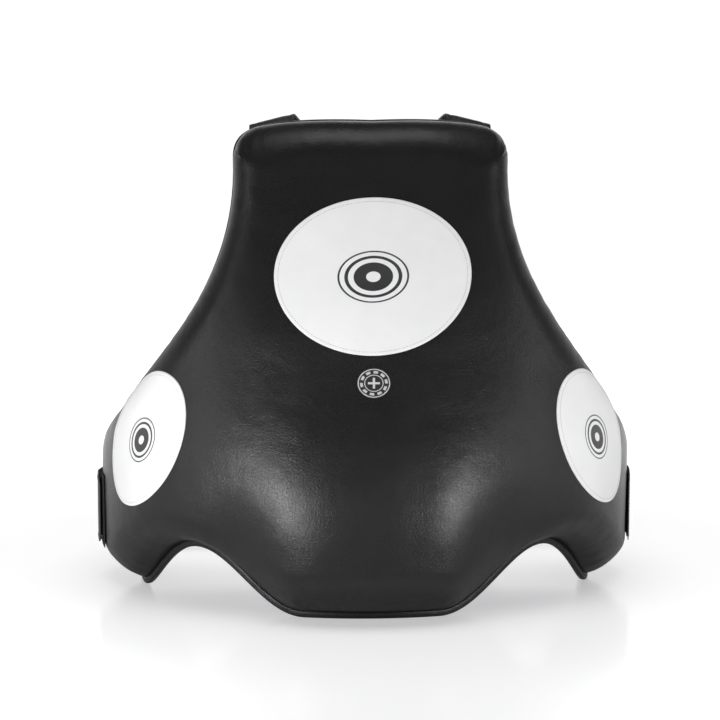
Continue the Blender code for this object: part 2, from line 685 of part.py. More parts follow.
def belt_out(along):
    """The height of the belt's body side, which stands on the hook and loop tape on the left."""
    sign, length = side_of(along)
    lift = TAB_LIFT * (1 - smooth((length - TAB_FOLD - 0.02) / 0.08))
    return wing_face(along) + np.where(sign < 0, lift, 0.0)


def belt_band(name, start, end, height, half_width, sections, material, step=RIBBON_STEP):
    """A stretch of the belt between two lengths round the body, standing on the height given."""
    along = stations_between(start, end, step)
    torso_ribbon(name, (along, BELT_Z + 0.0 * along), height(along), half_width, sections, material)


def waist_belt(leather, foam, nylon, elastic, hook, loop):
    """Anchor and loop panel on the wings, and the belt between them."""
    far = 2 * ROUND
    half = BELT_WIDTH / 2
    belt = flat(0.0, BELT_T)
    belt_band("belt_anchor", BELT_START, BELT_FOLD - HINGE_CLEAR / 2, wing_face, half, belt, leather)
    elastic_start = BELT_FOLD + HINGE_CLEAR / 2
    elastic_end = elastic_start + ELASTIC_LENGTH
    belt_band("belt_elastic", elastic_start, elastic_end, belt_out, ELASTIC_WIDTH / 2,
              flat(0.0, ELASTIC_T), elastic, BELT_STEP)
    panel = (elastic_end - 0.022, far - TAB_FOLD - HINGE_CLEAR / 2)
    lining_foot = ELASTIC_T + SEWN_GAP
    foam_foot = lining_foot + STRAP_COVER_T + SEWN_GAP
    foam_top = foam_foot + BELT_PAD_T
    belt_band("belt_lining", *panel, belt_out, half, flat(lining_foot, lining_foot + STRAP_COVER_T), nylon,
              BELT_STEP)
    belt_band("belt_foam", *panel, belt_out, half - STRAP_HEM, flat(foam_foot, foam_top), foam, BELT_STEP)
    belt_band("belt_cover", *panel, belt_out, half,
              channel(half, STRAP_COVER_T, foam_top + SEWN_GAP + STRAP_COVER_T, foam_foot), leather,
              BELT_STEP)
    belt_band("side_loop_panel", far - TAB_FOLD + 0.004, far - LOOP_PANEL_FRONT, wing_face, half + 0.002,
              flat(0.0, TOUCH_T), loop)
    tab = (far - TAB_FOLD + HINGE_CLEAR / 2, far - TAB_TIP)
    belt_band("belt_tab", *tab, belt_out, half, belt, leather)
    belt_band("belt_tab_hook", tab[0] + TOUCH_EDGE, tab[1] - TOUCH_EDGE, belt_out, half - TOUCH_EDGE,
              flat(-SEWN_GAP - TOUCH_T, -SEWN_GAP), hook)


# ---- The whole object ----

def front_pad(leather, white, foam_firm, foam_soft, nylon, tape):
    """Lining, two foams, leather cover, binding and the three sewn ovals."""
    foam_rings = [inset for inset in EDGE_RINGS if inset >= FOAM_RING]
    pad_layer("lining", [HEM_INSET, EDGE_RINGS[0], *foam_rings], level(0.0), level(LINING_TOP), nylon)
    pad_layer("inner_foam", foam_rings, level(FOAM_FOOT), level(FOAM_SPLIT), foam_soft)
    pad_layer("outer_foam", foam_rings, level(FOAM_SPLIT + SOFT_GAP), foam_out, foam_firm)
    pad_layer("front_cover", [HEM_INSET, *EDGE_RINGS], cover_in, cover_out, leather)
    edge_binding(tape)
    oval_patch("centre_patch", 0.0, CENTRE_PATCH_Z, *CENTRE_PATCH, CENTRE_PATCH_TURN, white)
    for side, word in ((-1, "left"), (1, "right")):
        oval_patch(word + "_patch", side * SIDE_PATCH_ALONG, SIDE_PATCH_Z, *SIDE_PATCH,
                   side * SIDE_PATCH_TURN, white)


def main():
    clear_scene()
    collection = bpy.data.collections.new("trainer_belly_pad")
    bpy.context.scene.collection.children.link(collection)
    leather = finish("black_leather", (0.022, 0.022, 0.023), 0.42)
    white = finish("white_leather", (0.86, 0.86, 0.86), 0.50)
    binding = finish("black_binding", (0.030, 0.030, 0.032), 0.55)
    nylon = finish("black_lining", (0.018, 0.018, 0.020), 0.80)
    firm = finish("firm_foam", (0.10, 0.10, 0.11), 0.90)
    soft = finish("soft_foam", (0.75, 0.74, 0.68), 0.95)
    elastic = finish("black_elastic", (0.020, 0.020, 0.022), 0.85)
    hook = finish("hook_tape", (0.028, 0.028, 0.030), 0.75)
    loop = finish("loop_tape", (0.016, 0.016, 0.018), 0.95)
    front_pad(leather, white, firm, soft, nylon, binding)
    for side, word in ((-1, "left"), (1, "right")):
        strap_anchor(side, word, leather)
        shoulder_strap(side, word, leather, soft, nylon)
        strap_tail(side, word, leather, hook)
        wing_tab(side, word, leather, loop)
    cross_keepers(leather)
    waist_belt(leather, soft, nylon, elastic, hook, loop)


main()
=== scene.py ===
# %% [markdown]
# # A trainer's belly pad
# A trainer wears this pad so that a boxer can punch and kick it. It is a moulded foam shell in black
# leather that wraps the belly and the ribs, with a crossed shoulder harness and a waist belt. This
# lesson builds every visible piece round a fixed model of the solids, from one drawing: the curve of
# the wearer's torso.

import json
import math

import bmesh
import bpy
import numpy as np
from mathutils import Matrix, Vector, noise
from mathutils.geometry import delaunay_2d_cdt, interpolate_bezier

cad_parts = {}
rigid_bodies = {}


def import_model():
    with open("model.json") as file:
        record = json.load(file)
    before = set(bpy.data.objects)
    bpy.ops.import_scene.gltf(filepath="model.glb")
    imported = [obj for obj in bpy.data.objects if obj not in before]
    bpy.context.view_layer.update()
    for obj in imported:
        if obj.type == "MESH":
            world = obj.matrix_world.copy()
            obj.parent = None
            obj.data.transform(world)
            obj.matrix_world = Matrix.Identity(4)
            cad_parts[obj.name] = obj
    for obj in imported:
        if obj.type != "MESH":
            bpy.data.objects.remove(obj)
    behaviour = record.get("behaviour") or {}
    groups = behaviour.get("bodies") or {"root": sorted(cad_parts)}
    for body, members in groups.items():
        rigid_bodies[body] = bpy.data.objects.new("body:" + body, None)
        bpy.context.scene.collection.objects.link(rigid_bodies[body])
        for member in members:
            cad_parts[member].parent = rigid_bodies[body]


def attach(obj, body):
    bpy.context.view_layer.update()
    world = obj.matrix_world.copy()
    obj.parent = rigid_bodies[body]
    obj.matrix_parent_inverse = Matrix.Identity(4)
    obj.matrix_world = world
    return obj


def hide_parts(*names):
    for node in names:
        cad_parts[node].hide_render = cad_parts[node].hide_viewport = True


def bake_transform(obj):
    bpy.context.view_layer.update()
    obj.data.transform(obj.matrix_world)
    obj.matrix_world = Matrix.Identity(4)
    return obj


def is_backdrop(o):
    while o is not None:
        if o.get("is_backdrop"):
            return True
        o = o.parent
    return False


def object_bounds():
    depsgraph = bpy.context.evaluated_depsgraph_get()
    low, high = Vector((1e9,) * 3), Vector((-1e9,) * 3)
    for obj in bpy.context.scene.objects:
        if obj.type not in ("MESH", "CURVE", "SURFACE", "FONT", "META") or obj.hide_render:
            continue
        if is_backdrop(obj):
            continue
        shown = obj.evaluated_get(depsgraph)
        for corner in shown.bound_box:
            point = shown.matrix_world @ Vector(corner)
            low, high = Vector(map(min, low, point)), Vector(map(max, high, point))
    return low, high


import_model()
CAD_BOX = [list(corner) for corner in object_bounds()]

# %% [markdown]
# ## Where we look from
# A long lens far away keeps the pad's proportions honest. The camera stands a little above the pad and
# a little to its left.

# %% Camera
CAMERA_AZIMUTH, CAMERA_HEIGHT_ANGLE = math.radians(-2.0), math.radians(9.5)
CAMERA_DISTANCE = 3.2
CAMERA_TARGET = Vector((-0.0105, -0.05, 0.2868))
VIEW_WIDTH = 0.840

camera = bpy.data.objects.new("camera", bpy.data.cameras.new("camera"))
bpy.context.scene.collection.objects.link(camera)
toward = Vector((math.sin(CAMERA_AZIMUTH) * math.cos(CAMERA_HEIGHT_ANGLE),
                 -math.cos(CAMERA_AZIMUTH) * math.cos(CAMERA_HEIGHT_ANGLE),
                 math.sin(CAMERA_HEIGHT_ANGLE)))
camera.location = CAMERA_TARGET + toward * CAMERA_DISTANCE
camera.rotation_euler = (-toward).to_track_quat("-Z", "Y").to_euler()
camera.data.lens = camera.data.sensor_width * CAMERA_DISTANCE / VIEW_WIDTH
bpy.context.scene.camera = camera
print("lens:", round(camera.data.lens, 1), "mm")

# %% [markdown]
# ## Studio light
# Black leather shows its shape only through what it reflects. Two small boxes low by the floor draw the
# highlights on the belly's flanks, and a wide one overhead lights the chest. Two dim boxes far out at the
# sides and one behind give thin pale rims. The camera sees none of the boxes, only their reflections.

# %% Lights
def soft_box(name, place, aim, size, power):
    """A rectangular area light at a place, turned towards a point and hidden from the camera."""
    lamp = bpy.data.lights.new(name, "AREA")
    lamp.shape = "RECTANGLE"
    lamp.size, lamp.size_y = size
    lamp.energy = power
    light = bpy.data.objects.new(name, lamp)
    bpy.context.scene.collection.objects.link(light)
    light.visible_camera = False
    light.location = place
    light.rotation_euler = (Vector(aim) - Vector(place)).to_track_quat("-Z", "Y").to_euler()
    return light


BELLY, FLANKS = (0.0, 0.0, 0.28), (0.0, -0.15, 0.09)
soft_box("left_box", (-1.66, -0.74, 0.30), BELLY, (0.40, 0.80), 4)
soft_box("right_box", (1.66, -0.74, 0.30), BELLY, (0.34, 0.80), 3)
soft_box("left_low_box", (-0.45, -0.55, 0.04), FLANKS, (0.17, 0.07), 2.0)
soft_box("right_low_box", (0.44, -0.58, 0.035), FLANKS, (0.11, 0.06), 1.2)
soft_box("top_box", (0.0, -0.7, 2.5), BELLY, (2.4, 1.3), 28)
soft_box("back_box", (0.0, 2.2, 1.5), BELLY, (2.4, 1.2), 8)
bpy.context.scene.view_settings.view_transform = "Standard"

# %% [markdown]
# ## Shader maths that reads like Python
# A node tree is easier to follow when `mask * 0.5 + 0.2` adds its own Math nodes. `Wire` wraps a socket
# and overloads the operators; `Finish` starts a material and adds any other node by its type.

# %% Wire and Finish
def plug(tree, slot, value):
    """Links a wire to an input, or sets the input's value."""
    if isinstance(value, Wire):
        tree.links.new(value.socket, slot)
    else:
        slot.default_value = value


class Wire:
    """A number that flows through a shader. Operators on it add Math nodes."""

    def __init__(self, tree, socket):
        self.tree, self.socket = tree, socket

    def math(self, operation, *values):
        node = self.tree.nodes.new("ShaderNodeMath")
        node.operation = operation
        for slot, value in zip(node.inputs, values):
            plug(self.tree, slot, value)
        return Wire(self.tree, node.outputs[0])

    def __add__(self, other): return self.math("ADD", self, other)
    __radd__ = __add__
    def __sub__(self, other): return self.math("SUBTRACT", self, other)
    def __rsub__(self, other): return self.math("SUBTRACT", other, self)
    def __mul__(self, other): return self.math("MULTIPLY", self, other)
    __rmul__ = __mul__
    def __truediv__(self, other): return self.math("DIVIDE", self, other)
    def __pow__(self, other): return self.math("POWER", self, other)
    def __abs__(self): return self.math("ABSOLUTE", self)
    def over(self, edge): return self.math("GREATER_THAN", self, edge)
    def under(self, edge): return self.math("LESS_THAN", self, edge)
    def most(self, other): return self.math("MAXIMUM", self, other)
    def least(self, other): return self.math("MINIMUM", self, other)
    def sine(self): return self.math("SINE", self)
    def root(self): return self.math("SQRT", self)


class Finish:
    """A material in the making. `add` puts a node in it, with settings first and inputs after."""

    def __init__(self, name):
        self.material = bpy.data.materials.new(name)
        self.material.use_nodes = True
        self.tree = self.material.node_tree
        self.shader = self.tree.nodes["Principled BSDF"]

    def add(self, kind, inputs=None, settings=None, output=0):
        node = self.tree.nodes.new("ShaderNode" + kind)
        for name, value in (settings or {}).items():
            setattr(node, name, value)
        for name, value in (inputs or {}).items():
            plug(self.tree, node.inputs[name], value)
        return Wire(self.tree, node.outputs[output])

    def mix(self, share, one, other):
        """One colour fading into another."""
        node = self.tree.nodes.new("ShaderNodeMix")
        node.data_type = "RGBA"
        for slot, value in zip((node.inputs[0], node.inputs[6], node.inputs[7]), (share, one, other)):
            plug(self.tree, slot, value)
        return Wire(self.tree, node.outputs[2])

    def bump(self, height, distance, under=None):
        """A Bump node, on top of the one under it if there is one."""
        inputs = {"Height": height, "Distance": distance, "Strength": 1.0}
        if under is not None:
            inputs["Normal"] = under
        return self.add("Bump", inputs)

    def set(self, **sockets):
        for name, value in sockets.items():
            plug(self.tree, self.shader.inputs[name.replace("_", " ")], value)
        return self.material


def grey(value, alpha=1.0):
    return (value, value, value * 1.02, alpha)


# %% [markdown]
# ## A white room, dark in front
# The room behind the pad is white, and gives the floor something to mirror and the edges a pale rim.
# The side of the room that the pad faces is dark, so that the leather stays black.

# %% World
def studio_room(seen, ahead, behind):
    """A world seen white, that lights by one strength from the front and another from behind."""
    world = bpy.data.worlds.new("studio")
    bpy.context.scene.world = world
    world.use_nodes = True
    tree = world.node_tree
    tree.nodes["Background"].inputs["Color"].default_value = (1.0, 1.0, 1.0, 1.0)
    path = tree.nodes.new("ShaderNodeLightPath")
    look = tree.nodes.new("ShaderNodeTexCoord")
    split = tree.nodes.new("ShaderNodeSeparateXYZ")
    tree.links.new(look.outputs["Generated"], split.inputs[0])
    back, up = Wire(tree, split.outputs[1]), Wire(tree, split.outputs[2])
    behind_share = (back * 1.6 - 0.1).most(0.0).least(1.0)
    low_share = (1.0 - abs(up) * 1.5).most(0.0)
    light = behind_share * low_share * (behind - ahead) + ahead
    camera_ray = Wire(tree, path.outputs["Is Camera Ray"])
    plug(tree, tree.nodes["Background"].inputs["Strength"], camera_ray * seen + (1.0 - camera_ray) * light)


studio_room(seen=1.05, ahead=0.12, behind=0.95)
print("world:", bpy.context.scene.world.name)

# %% [markdown]
# ## Leather
# Leather is a smooth coat over a pebbled grain: small cells with soft valleys between them. A Voronoi
# texture gives the cells, two sizes of noise vary them, and Bump nodes turn the heights into shading.
# Cloth and elastic, further down, follow each piece's own UV map, which is laid out in metres.

# %% Leather finishes
def leather(name, dark, light, roughness, grain=950.0, depth=0.00011):
    """Pebbled leather between two shades, with a slightly uneven gloss."""
    made = Finish(name)
    place = made.add("TexCoord", output=3)
    cells = made.add("TexVoronoi", {"Vector": place, "Scale": grain, "Smoothness": 0.6},
                     {"feature": "SMOOTH_F1"})
    creases = made.add("TexVoronoi", {"Vector": place, "Scale": grain * 0.31},
                       {"feature": "DISTANCE_TO_EDGE"})
    hide = made.add("TexNoise", {"Vector": place, "Scale": 34.0, "Detail": 3.0})
    patchy = made.add("TexNoise", {"Vector": place, "Scale": 9.0, "Detail": 2.0})
    fine = made.add("TexNoise", {"Vector": place, "Scale": grain * 1.9, "Detail": 2.0})
    pebbles = made.bump(cells * -1.0 + fine * 0.25, depth)
    valleys = made.bump((creases * 9.0).least(1.0), depth * 0.55, pebbles)
    shade = made.mix(hide * 0.6 + patchy * 0.4, grey(dark), grey(light))
    return made.set(Base_Color=shade, Normal=made.bump(hide, 0.0009, valleys), Specular_IOR_Level=0.30,
                    Roughness=roughness + (patchy - 0.5) * 0.18 + (cells - 0.4) * 0.12)


BLACK_LEATHER = leather("black_leather", 0.008, 0.013, 0.30)
BINDING_LEATHER = leather("binding_leather", 0.006, 0.010, 0.36, grain=1150.0)
STRAP_LEATHER = leather("strap_leather", 0.014, 0.022, 0.45, grain=1050.0)
print("leathers:", BLACK_LEATHER.name, BINDING_LEATHER.name, STRAP_LEATHER.name)

# %% [markdown]
# ## Cloth, elastic and tape
# The lining is a plain weave, the belt's elastic has fine ribs, and the tapes are felts of hooks or
# loops. Products of sines give threads that go over and under each other without an image, and noise
# gives felt its tangle.

# %% Cloth finishes
def woven(name, dark, light, pitch, depth, roughness):
    """A plain weave on the UV map: threads go over and under each other every pitch."""
    made = Finish(name)
    place = made.add("UVMap")
    split = made.tree.nodes.new("ShaderNodeSeparateXYZ")
    made.tree.links.new(place.socket, split.inputs[0])
    across, up = Wire(made.tree, split.outputs[0]), Wire(made.tree, split.outputs[1])
    turn = 2 * math.pi / pitch
    weave = abs((across * turn).sine() * (up * turn).sine())
    checks = (across * (turn / 2)).sine() * (up * (turn / 2)).sine()
    fuzz = made.add("TexNoise", {"Vector": place, "Scale": 2600.0, "Detail": 2.0})
    wear = made.add("TexNoise", {"Vector": place, "Scale": 14.0, "Detail": 3.0})
    height = weave * 0.7 + checks * 0.3 + fuzz * 0.25
    return made.set(Base_Color=made.mix(weave * 0.6 + wear * 0.4, grey(dark), grey(light)),
                    Normal=made.bump(height, depth), Roughness=roughness + fuzz * 0.1)


def ribbed(name, dark, light, pitch, depth):
    """Elastic: fine ribs along the tape, crossed by tighter picks."""
    made = Finish(name)
    place = made.add("UVMap")
    split = made.tree.nodes.new("ShaderNodeSeparateXYZ")
    made.tree.links.new(place.socket, split.inputs[0])
    along, up = Wire(made.tree, split.outputs[0]), Wire(made.tree, split.outputs[1])
    ribs = abs((up * (math.pi / pitch)).sine())
    picks = abs((along * (math.pi / (pitch * 0.45))).sine())
    fuzz = made.add("TexNoise", {"Vector": place, "Scale": 1800.0, "Detail": 2.0})
    return made.set(Base_Color=made.mix(ribs * 0.8 + fuzz * 0.2, grey(dark), grey(light)),
                    Normal=made.bump(ribs + picks * 0.35 + fuzz * 0.2, depth), Roughness=0.82)


def fuzzy(name, dark, light, scale, depth):
    """Loop or hook tape: a felted surface of short tangled fibres."""
    made = Finish(name)
    place = made.add("TexCoord", output=3)
    fibres = made.add("TexNoise", {"Vector": place, "Scale": scale, "Detail": 4.0, "Distortion": 1.5})
    tufts = made.add("TexVoronoi", {"Vector": place, "Scale": scale * 0.6})
    return made.set(Base_Color=made.mix(fibres, grey(dark), grey(light)),
                    Normal=made.bump(fibres + tufts * 0.6, depth), Roughness=0.95)


LINING_CLOTH = woven("lining_cloth", 0.008, 0.022, 0.0011, 0.00020, 0.72)
ELASTIC = ribbed("elastic", 0.009, 0.024, 0.0022, 0.00045)
LOOP_TAPE = fuzzy("loop_tape", 0.006, 0.020, 900.0, 0.0007)
HOOK_TAPE = fuzzy("hook_tape", 0.012, 0.030, 1500.0, 0.0004)
print("cloths:", LINING_CLOTH.name, ELASTIC.name, LOOP_TAPE.name, HOOK_TAPE.name)


# %% [markdown]
# ## Thread
# Sewing thread is nearly even in colour, with a faint speckle where its fibres turn. One noise texture is
# enough for it, because a stitch is less than a millimetre thick.

# %% Thread finishes
def plain(name, shade, roughness, speck=0.15):
    """A nearly even finish with a fine speckle, for thread."""
    made = Finish(name)
    place = made.add("TexCoord", output=3)
    grain = made.add("TexNoise", {"Vector": place, "Scale": 1400.0, "Detail": 2.0})
    return made.set(Base_Color=made.mix(grain, grey(shade * (1 - speck)), grey(shade * (1 + speck))),
                    Roughness=roughness, Normal=made.bump(grain, 0.0001))


BLACK_THREAD = plain("black_thread", 0.020, 0.55)
GREY_THREAD = plain("grey_thread", 0.42, 0.60)
print("threads:", BLACK_THREAD.name, GREY_THREAD.name)

# %% [markdown]
# ## The torso
# Everything is measured on the wearer: *along* runs round the body from the front centre, *z* is the
# height, and *out* is the distance from the body. The plan's curvature grows smoothly from the belly
# to the ribs, so the curve comes from adding up small turns.

# %% Torso plan
FRONT_BEND, SIDE_BEND, SIDE_START = 2.7, 5.5, 0.380
BACK_CORNER, BACK_TURN = 0.055, math.radians(165)
CHEST_LEAN, BELLY_PUSH = 0.030, 0.018
PAD_HEIGHT, WING_REACH = 0.571, 0.420
CHEST_THICKNESS, BELLY_EXTRA = 0.050, 0.013
BELT_BACK_OUT, BELT_PAD_T, BELT_T, SEWN_GAP = 0.012, 0.0050, 0.0022, 0.0005


def smooth(t):
    t = np.clip(t, 0.0, 1.0)
    return t * t * (3 - 2 * t)


def torso_plan():
    """Length, x, y and heading along the plan, from the front centre to the back centre."""
    step = 0.0005
    length = np.arange(0.0, WING_REACH + step, step)
    bend = FRONT_BEND + (SIDE_BEND - FRONT_BEND) * smooth(length / SIDE_START)
    heading = np.concatenate([[0.0], np.cumsum((bend[1:] + bend[:-1]) / 2 * step)])
    middle = (heading[1:] + heading[:-1]) / 2
    x = np.concatenate([[0.0], np.cumsum(np.cos(middle) * step)])
    y = np.concatenate([[0.0], np.cumsum(np.sin(middle) * step)])
    corner = np.linspace(heading[-1], BACK_TURN, 60)[1:]
    x_corner = x[-1] + BACK_CORNER * (np.sin(corner) - np.sin(heading[-1]))
    y_corner = y[-1] + BACK_CORNER * (np.cos(heading[-1]) - np.cos(corner))
    length_corner = length[-1] + BACK_CORNER * (corner - heading[-1])
    back_radius = x_corner[-1] / math.sin(math.pi - BACK_TURN)
    back = np.linspace(BACK_TURN, math.pi, 60)[1:]
    x_back = x_corner[-1] + back_radius * (np.sin(back) - math.sin(BACK_TURN))
    y_back = y_corner[-1] + back_radius * (math.cos(BACK_TURN) - np.cos(back))
    length_back = length_corner[-1] + back_radius * (back - BACK_TURN)
    return tuple(np.concatenate(parts) for parts in (
        (length, length_corner, length_back), (x, x_corner, x_back),
        (y, y_corner, y_back), (heading, corner, back)))


PLAN_LENGTH, PLAN_X, PLAN_Y, PLAN_HEADING = torso_plan()
ROUND = PLAN_LENGTH[-1]
print("half way round the body:", round(ROUND, 4), "m")


# %% [markdown]
# ## From lengths to places
# A point of the pad is easier to name by how far round the body it lies than by x and y. `torso_point`
# looks that length up on the plan and steps out along its normal, for one point or a whole array.

# %% Points on the torso
def lean(z):
    share = z / PAD_HEIGHT
    return (CHEST_LEAN * smooth((share - 0.55) / 0.45)
            - BELLY_PUSH * np.exp(-(((share - 0.28) / 0.25) ** 2)))


def pad_thickness(along, z):
    bulge = np.exp(-(((z - 0.12) / 0.13) ** 2)) * np.exp(-((along / 0.16) ** 2))
    return CHEST_THICKNESS + BELLY_EXTRA * bulge


def middle_depth():
    heights = np.linspace(0.0, PAD_HEIGHT, 200)
    front = (lean(heights) - pad_thickness(0.0, heights)).min()
    back = PLAN_Y[-1] + BELT_BACK_OUT + BELT_PAD_T + 2 * (SEWN_GAP + BELT_T)
    return (front + back) / 2


DEPTH_SHIFT = -middle_depth()


def side_of(along):
    """Folds a length that runs on past the back centre onto the other side: (sign, length)."""
    along = np.asarray(along, float)
    past = np.abs(along) > ROUND
    wrapped = np.where(past, np.sign(along) * 2 * ROUND - along, np.abs(along))
    return np.where(past, -np.sign(along), np.where(along < 0, -1.0, 1.0)), np.abs(wrapped)


def torso_point(along, z, out):
    sign, length = side_of(along)
    x, y, heading = (np.interp(length, PLAN_LENGTH, column) for column in (PLAN_X, PLAN_Y, PLAN_HEADING))
    forward = lean(np.asarray(z)) * np.maximum(np.cos(heading), 0.0)
    return np.stack([sign * (x + out * np.sin(heading)),
                     y - out * np.cos(heading) + forward + DEPTH_SHIFT, z + 0.0 * x], axis=-1)


def torso_out(along):
    sign, length = side_of(along)
    heading = np.interp(length, PLAN_LENGTH, PLAN_HEADING)
    return np.stack([sign * np.sin(heading), -np.cos(heading), 0.0 * heading], axis=-1)


print("chest edge stands at y =", round(float(torso_point(0.0, PAD_HEIGHT, 0.0)[1]), 4))

# %% [markdown]
# ## The cut of the pad
# Unrolled, the pad is one flat shape: chest panel, two armholes, wings, hip arches and the belly
# flap. Bezier spans draw one half, and everything sewn to the edge follows the same outline.

# %% Outline of the cut
CHEST_HALF, WING_SHOULDER, WING_CORNER = 0.161, 0.238, 0.095
WING_REAR_TOP, WING_REAR_FOOT = 0.150, 0.055
FLAP_HALF, ARCH_HEIGHT, FOOT_START, FOOT_LENGTH = 0.078, 0.072, WING_REACH - 0.077, 0.018
EDGE_STATIONS, BEND_WEIGHT = 300, 0.035


def curve_through(spans):
    """Points along Bezier spans, each (knot, handle, handle, knot)."""
    points = []
    for span in spans:
        fine = interpolate_bezier(*(Vector((*corner, 0)) for corner in span), 24)
        points += [(p.x, p.y) for p in fine[bool(points):]]
    return np.array(points)


def half_outline():
    """The right half, from the centre of the chest edge round to the centre of the flap."""
    corner = (CHEST_HALF, PAD_HEIGHT - 0.046)
    shoulder = (WING_REACH - WING_CORNER, WING_SHOULDER)
    rim = (0.120, PAD_HEIGHT - 0.006)
    upper = curve_through((
        ((0.0, PAD_HEIGHT), (0.05, PAD_HEIGHT + 0.002), (0.09, PAD_HEIGHT), rim),
        (rim, (0.143, PAD_HEIGHT - 0.011), (CHEST_HALF + 0.001, PAD_HEIGHT - 0.020), corner),
        (corner, (CHEST_HALF - 0.004, PAD_HEIGHT - 0.155), (shoulder[0] - 0.110, shoulder[1] + 0.098),
         shoulder),
        (shoulder, (shoulder[0] + 0.045, shoulder[1] - 0.030), (WING_REACH, WING_REAR_TOP + 0.045),
         (WING_REACH, WING_REAR_TOP))))
    share = np.linspace(0.0, 1.0, 60)
    arch = np.stack([FLAP_HALF + (FOOT_START - FLAP_HALF) * share,
                     ARCH_HEIGHT * np.sin(math.pi * share) ** 2], axis=1)
    foot = FOOT_START + FOOT_LENGTH
    heel = curve_through((((foot, 0.0), (foot + 0.036, 0.0), (WING_REACH, 0.018),
                           (WING_REACH, WING_REAR_FOOT)),))
    lower = np.vstack([[(0.0, 0.0), (FLAP_HALF / 2, 0.0)], arch, heel])
    points = np.vstack([upper, lower[::-1]])
    length = lengths_along(points)
    even = np.linspace(0.0, length[-1], 900)
    return np.stack([np.interp(even, length, column) for column in points.T], axis=1)


def lengths_along(points):
    return np.concatenate([[0.0], np.cumsum(np.linalg.norm(np.diff(points, axis=0), axis=1))])


OUTLINE = half_outline()
OUTLINE_LENGTH = lengths_along(OUTLINE)
print("half the outline:", round(OUTLINE_LENGTH[-1], 3), "m")


# %% [markdown]
# ## Rings and distances
# The binding, the flange and the cover's first rows keep a fixed distance from the cut edge. Stations
# moved inwards along their normals give such rings, and lie closer together where the edge turns, so
# that corners stay round.

# %% Rings inside the outline
def edge_stations():
    """Points, inward normals and bend round half the outline, closer together where it turns."""
    step = np.gradient(OUTLINE, axis=0)
    heading = np.unwrap(np.arctan2(step[:, 1], step[:, 0]))
    turned = np.concatenate([[0.0], np.cumsum(np.abs(np.diff(heading)))])
    measure = OUTLINE_LENGTH + BEND_WEIGHT * turned
    stations = np.linspace(0.0, measure[-1], EDGE_STATIONS)
    points = np.stack([np.interp(stations, measure, column) for column in OUTLINE.T], axis=1)
    turn = np.interp(stations, measure, heading)
    return points, np.stack([np.sin(turn), -np.cos(turn)], axis=1)


STATIONS, INWARD = edge_stations()
BEND = np.abs(np.gradient(np.unwrap(np.arctan2(*np.gradient(OUTLINE, axis=0).T[::-1])), OUTLINE_LENGTH))
BEND = np.convolve(np.pad(BEND, 20, mode="edge"), np.ones(41) / 41, mode="valid")
print("stations round half the edge:", len(STATIONS))


def ring(inset):
    """The outline moved inwards, as its right half. Both ends stay on the centre line."""
    points = STATIONS + inset * INWARD
    points[[0, -1], 0] = 0.0
    return points


def whole_ring(inset):
    """The outline moved inwards, all the way round."""
    right = ring(inset)
    return np.vstack([right, right[-2:0:-1] * (-1.0, 1.0)])


def from_edge(along, z):
    """Distance to the outline, and the length along it of the nearest point."""
    point = np.stack([np.abs(np.ravel(along)), np.ravel(z)], axis=1)
    start, step = OUTLINE[:-1], np.diff(OUTLINE, axis=0)
    square = np.maximum((step ** 2).sum(axis=1), 1e-12)
    far, where = [], []
    for part in np.array_split(point, max(1, len(point) // 2000)):
        share = np.clip(((part[:, None] - start) * step).sum(axis=-1) / square, 0.0, 1.0)
        gap = np.linalg.norm(part[:, None] - start - share[..., None] * step, axis=-1)
        best = gap.argmin(axis=1)
        row = np.arange(len(part))
        far.append(gap[row, best])
        where.append(OUTLINE_LENGTH[best] + share[row, best] * np.sqrt(square[best]))
    return np.concatenate(far).reshape(np.shape(along)), np.concatenate(where).reshape(np.shape(along))


# %% [markdown]
# ## Moulded leather
# The leather is pulled over moulded foam: a sewn flange, then a full round edge, then a broad face.
# The edge is roundest at the foot of the belly flap and tighter along the chest. On top of that rule
# come the small things that make leather real: puckers along the sewn edge, stronger where it bends,
# and a faint unevenness of the foam. Vertex heights in code keep the edge where the binding needs it.

# %% Height of the leather
EDGE_RADIUS, EDGE_POWER, FLANGE = 0.042, 2.2, 0.008
LINING_T, COVER_T, BINDING_T, SOFT_GAP, PATCH_T = 0.0014, 0.0018, 0.0011, 0.0010, 0.0012
COVER_FOOT = LINING_T + SEWN_GAP
FLANGE_TOP = COVER_FOOT + COVER_T
HEM_INSET = BINDING_T + SEWN_GAP
THREAD_LIFT = 0.0001
PUCKER, PUCKER_FADE, PUCKER_START, FULL_BEND, UNEVEN = 0.0024, 0.015, 0.006, 14.0, 0.0010
FLANK_EXTRA, FLANK_MIDDLE, FLANK_SPREAD = 0.006, (0.115, 0.05), (0.085, 0.10)
HOLLOW_DEPTH, HOLLOW_MIDDLE, HOLLOW_SPREAD = 0.028, (0.150, 0.035), (0.052, 0.100)
FOOT_EXTRA, FOOT_SPREAD, FOOT_SOFTER, FOOT_BAND = 0.030, (0.085, 0.09), 0.72, (0.02, 0.11)
CHEST_LESS, CHEST_BAND, CHEST_SIDES = 0.013, (0.45, 0.56), (0.06, 0.12)
CHEST_OVERHANG, OVERHANG_END = 0.0085, (0.128, 0.172)


def wander(along, z, scale, seed):
    """Smooth noise from -1 to 1 at each point of the cut."""
    flat_along, flat_z = np.ravel(along) * scale, np.ravel(z) * scale
    found = [noise.noise(Vector((a, b, seed))) for a, b in zip(flat_along, flat_z)]
    return np.array(found).reshape(np.shape(along))


def climb(value, band):
    """0 below a band of values and 1 above it, with a smooth climb between."""
    return smooth((value - band[0]) / (band[1] - band[0]))


def mound(along, z, middle, spread):
    """1 at a middle on each side of the pad, fading out over a spread of (along, z)."""
    return (np.exp(-((np.abs(along) - middle[0]) / spread[0]) ** 2)
            * np.exp(-((z - middle[1]) / spread[1]) ** 2))


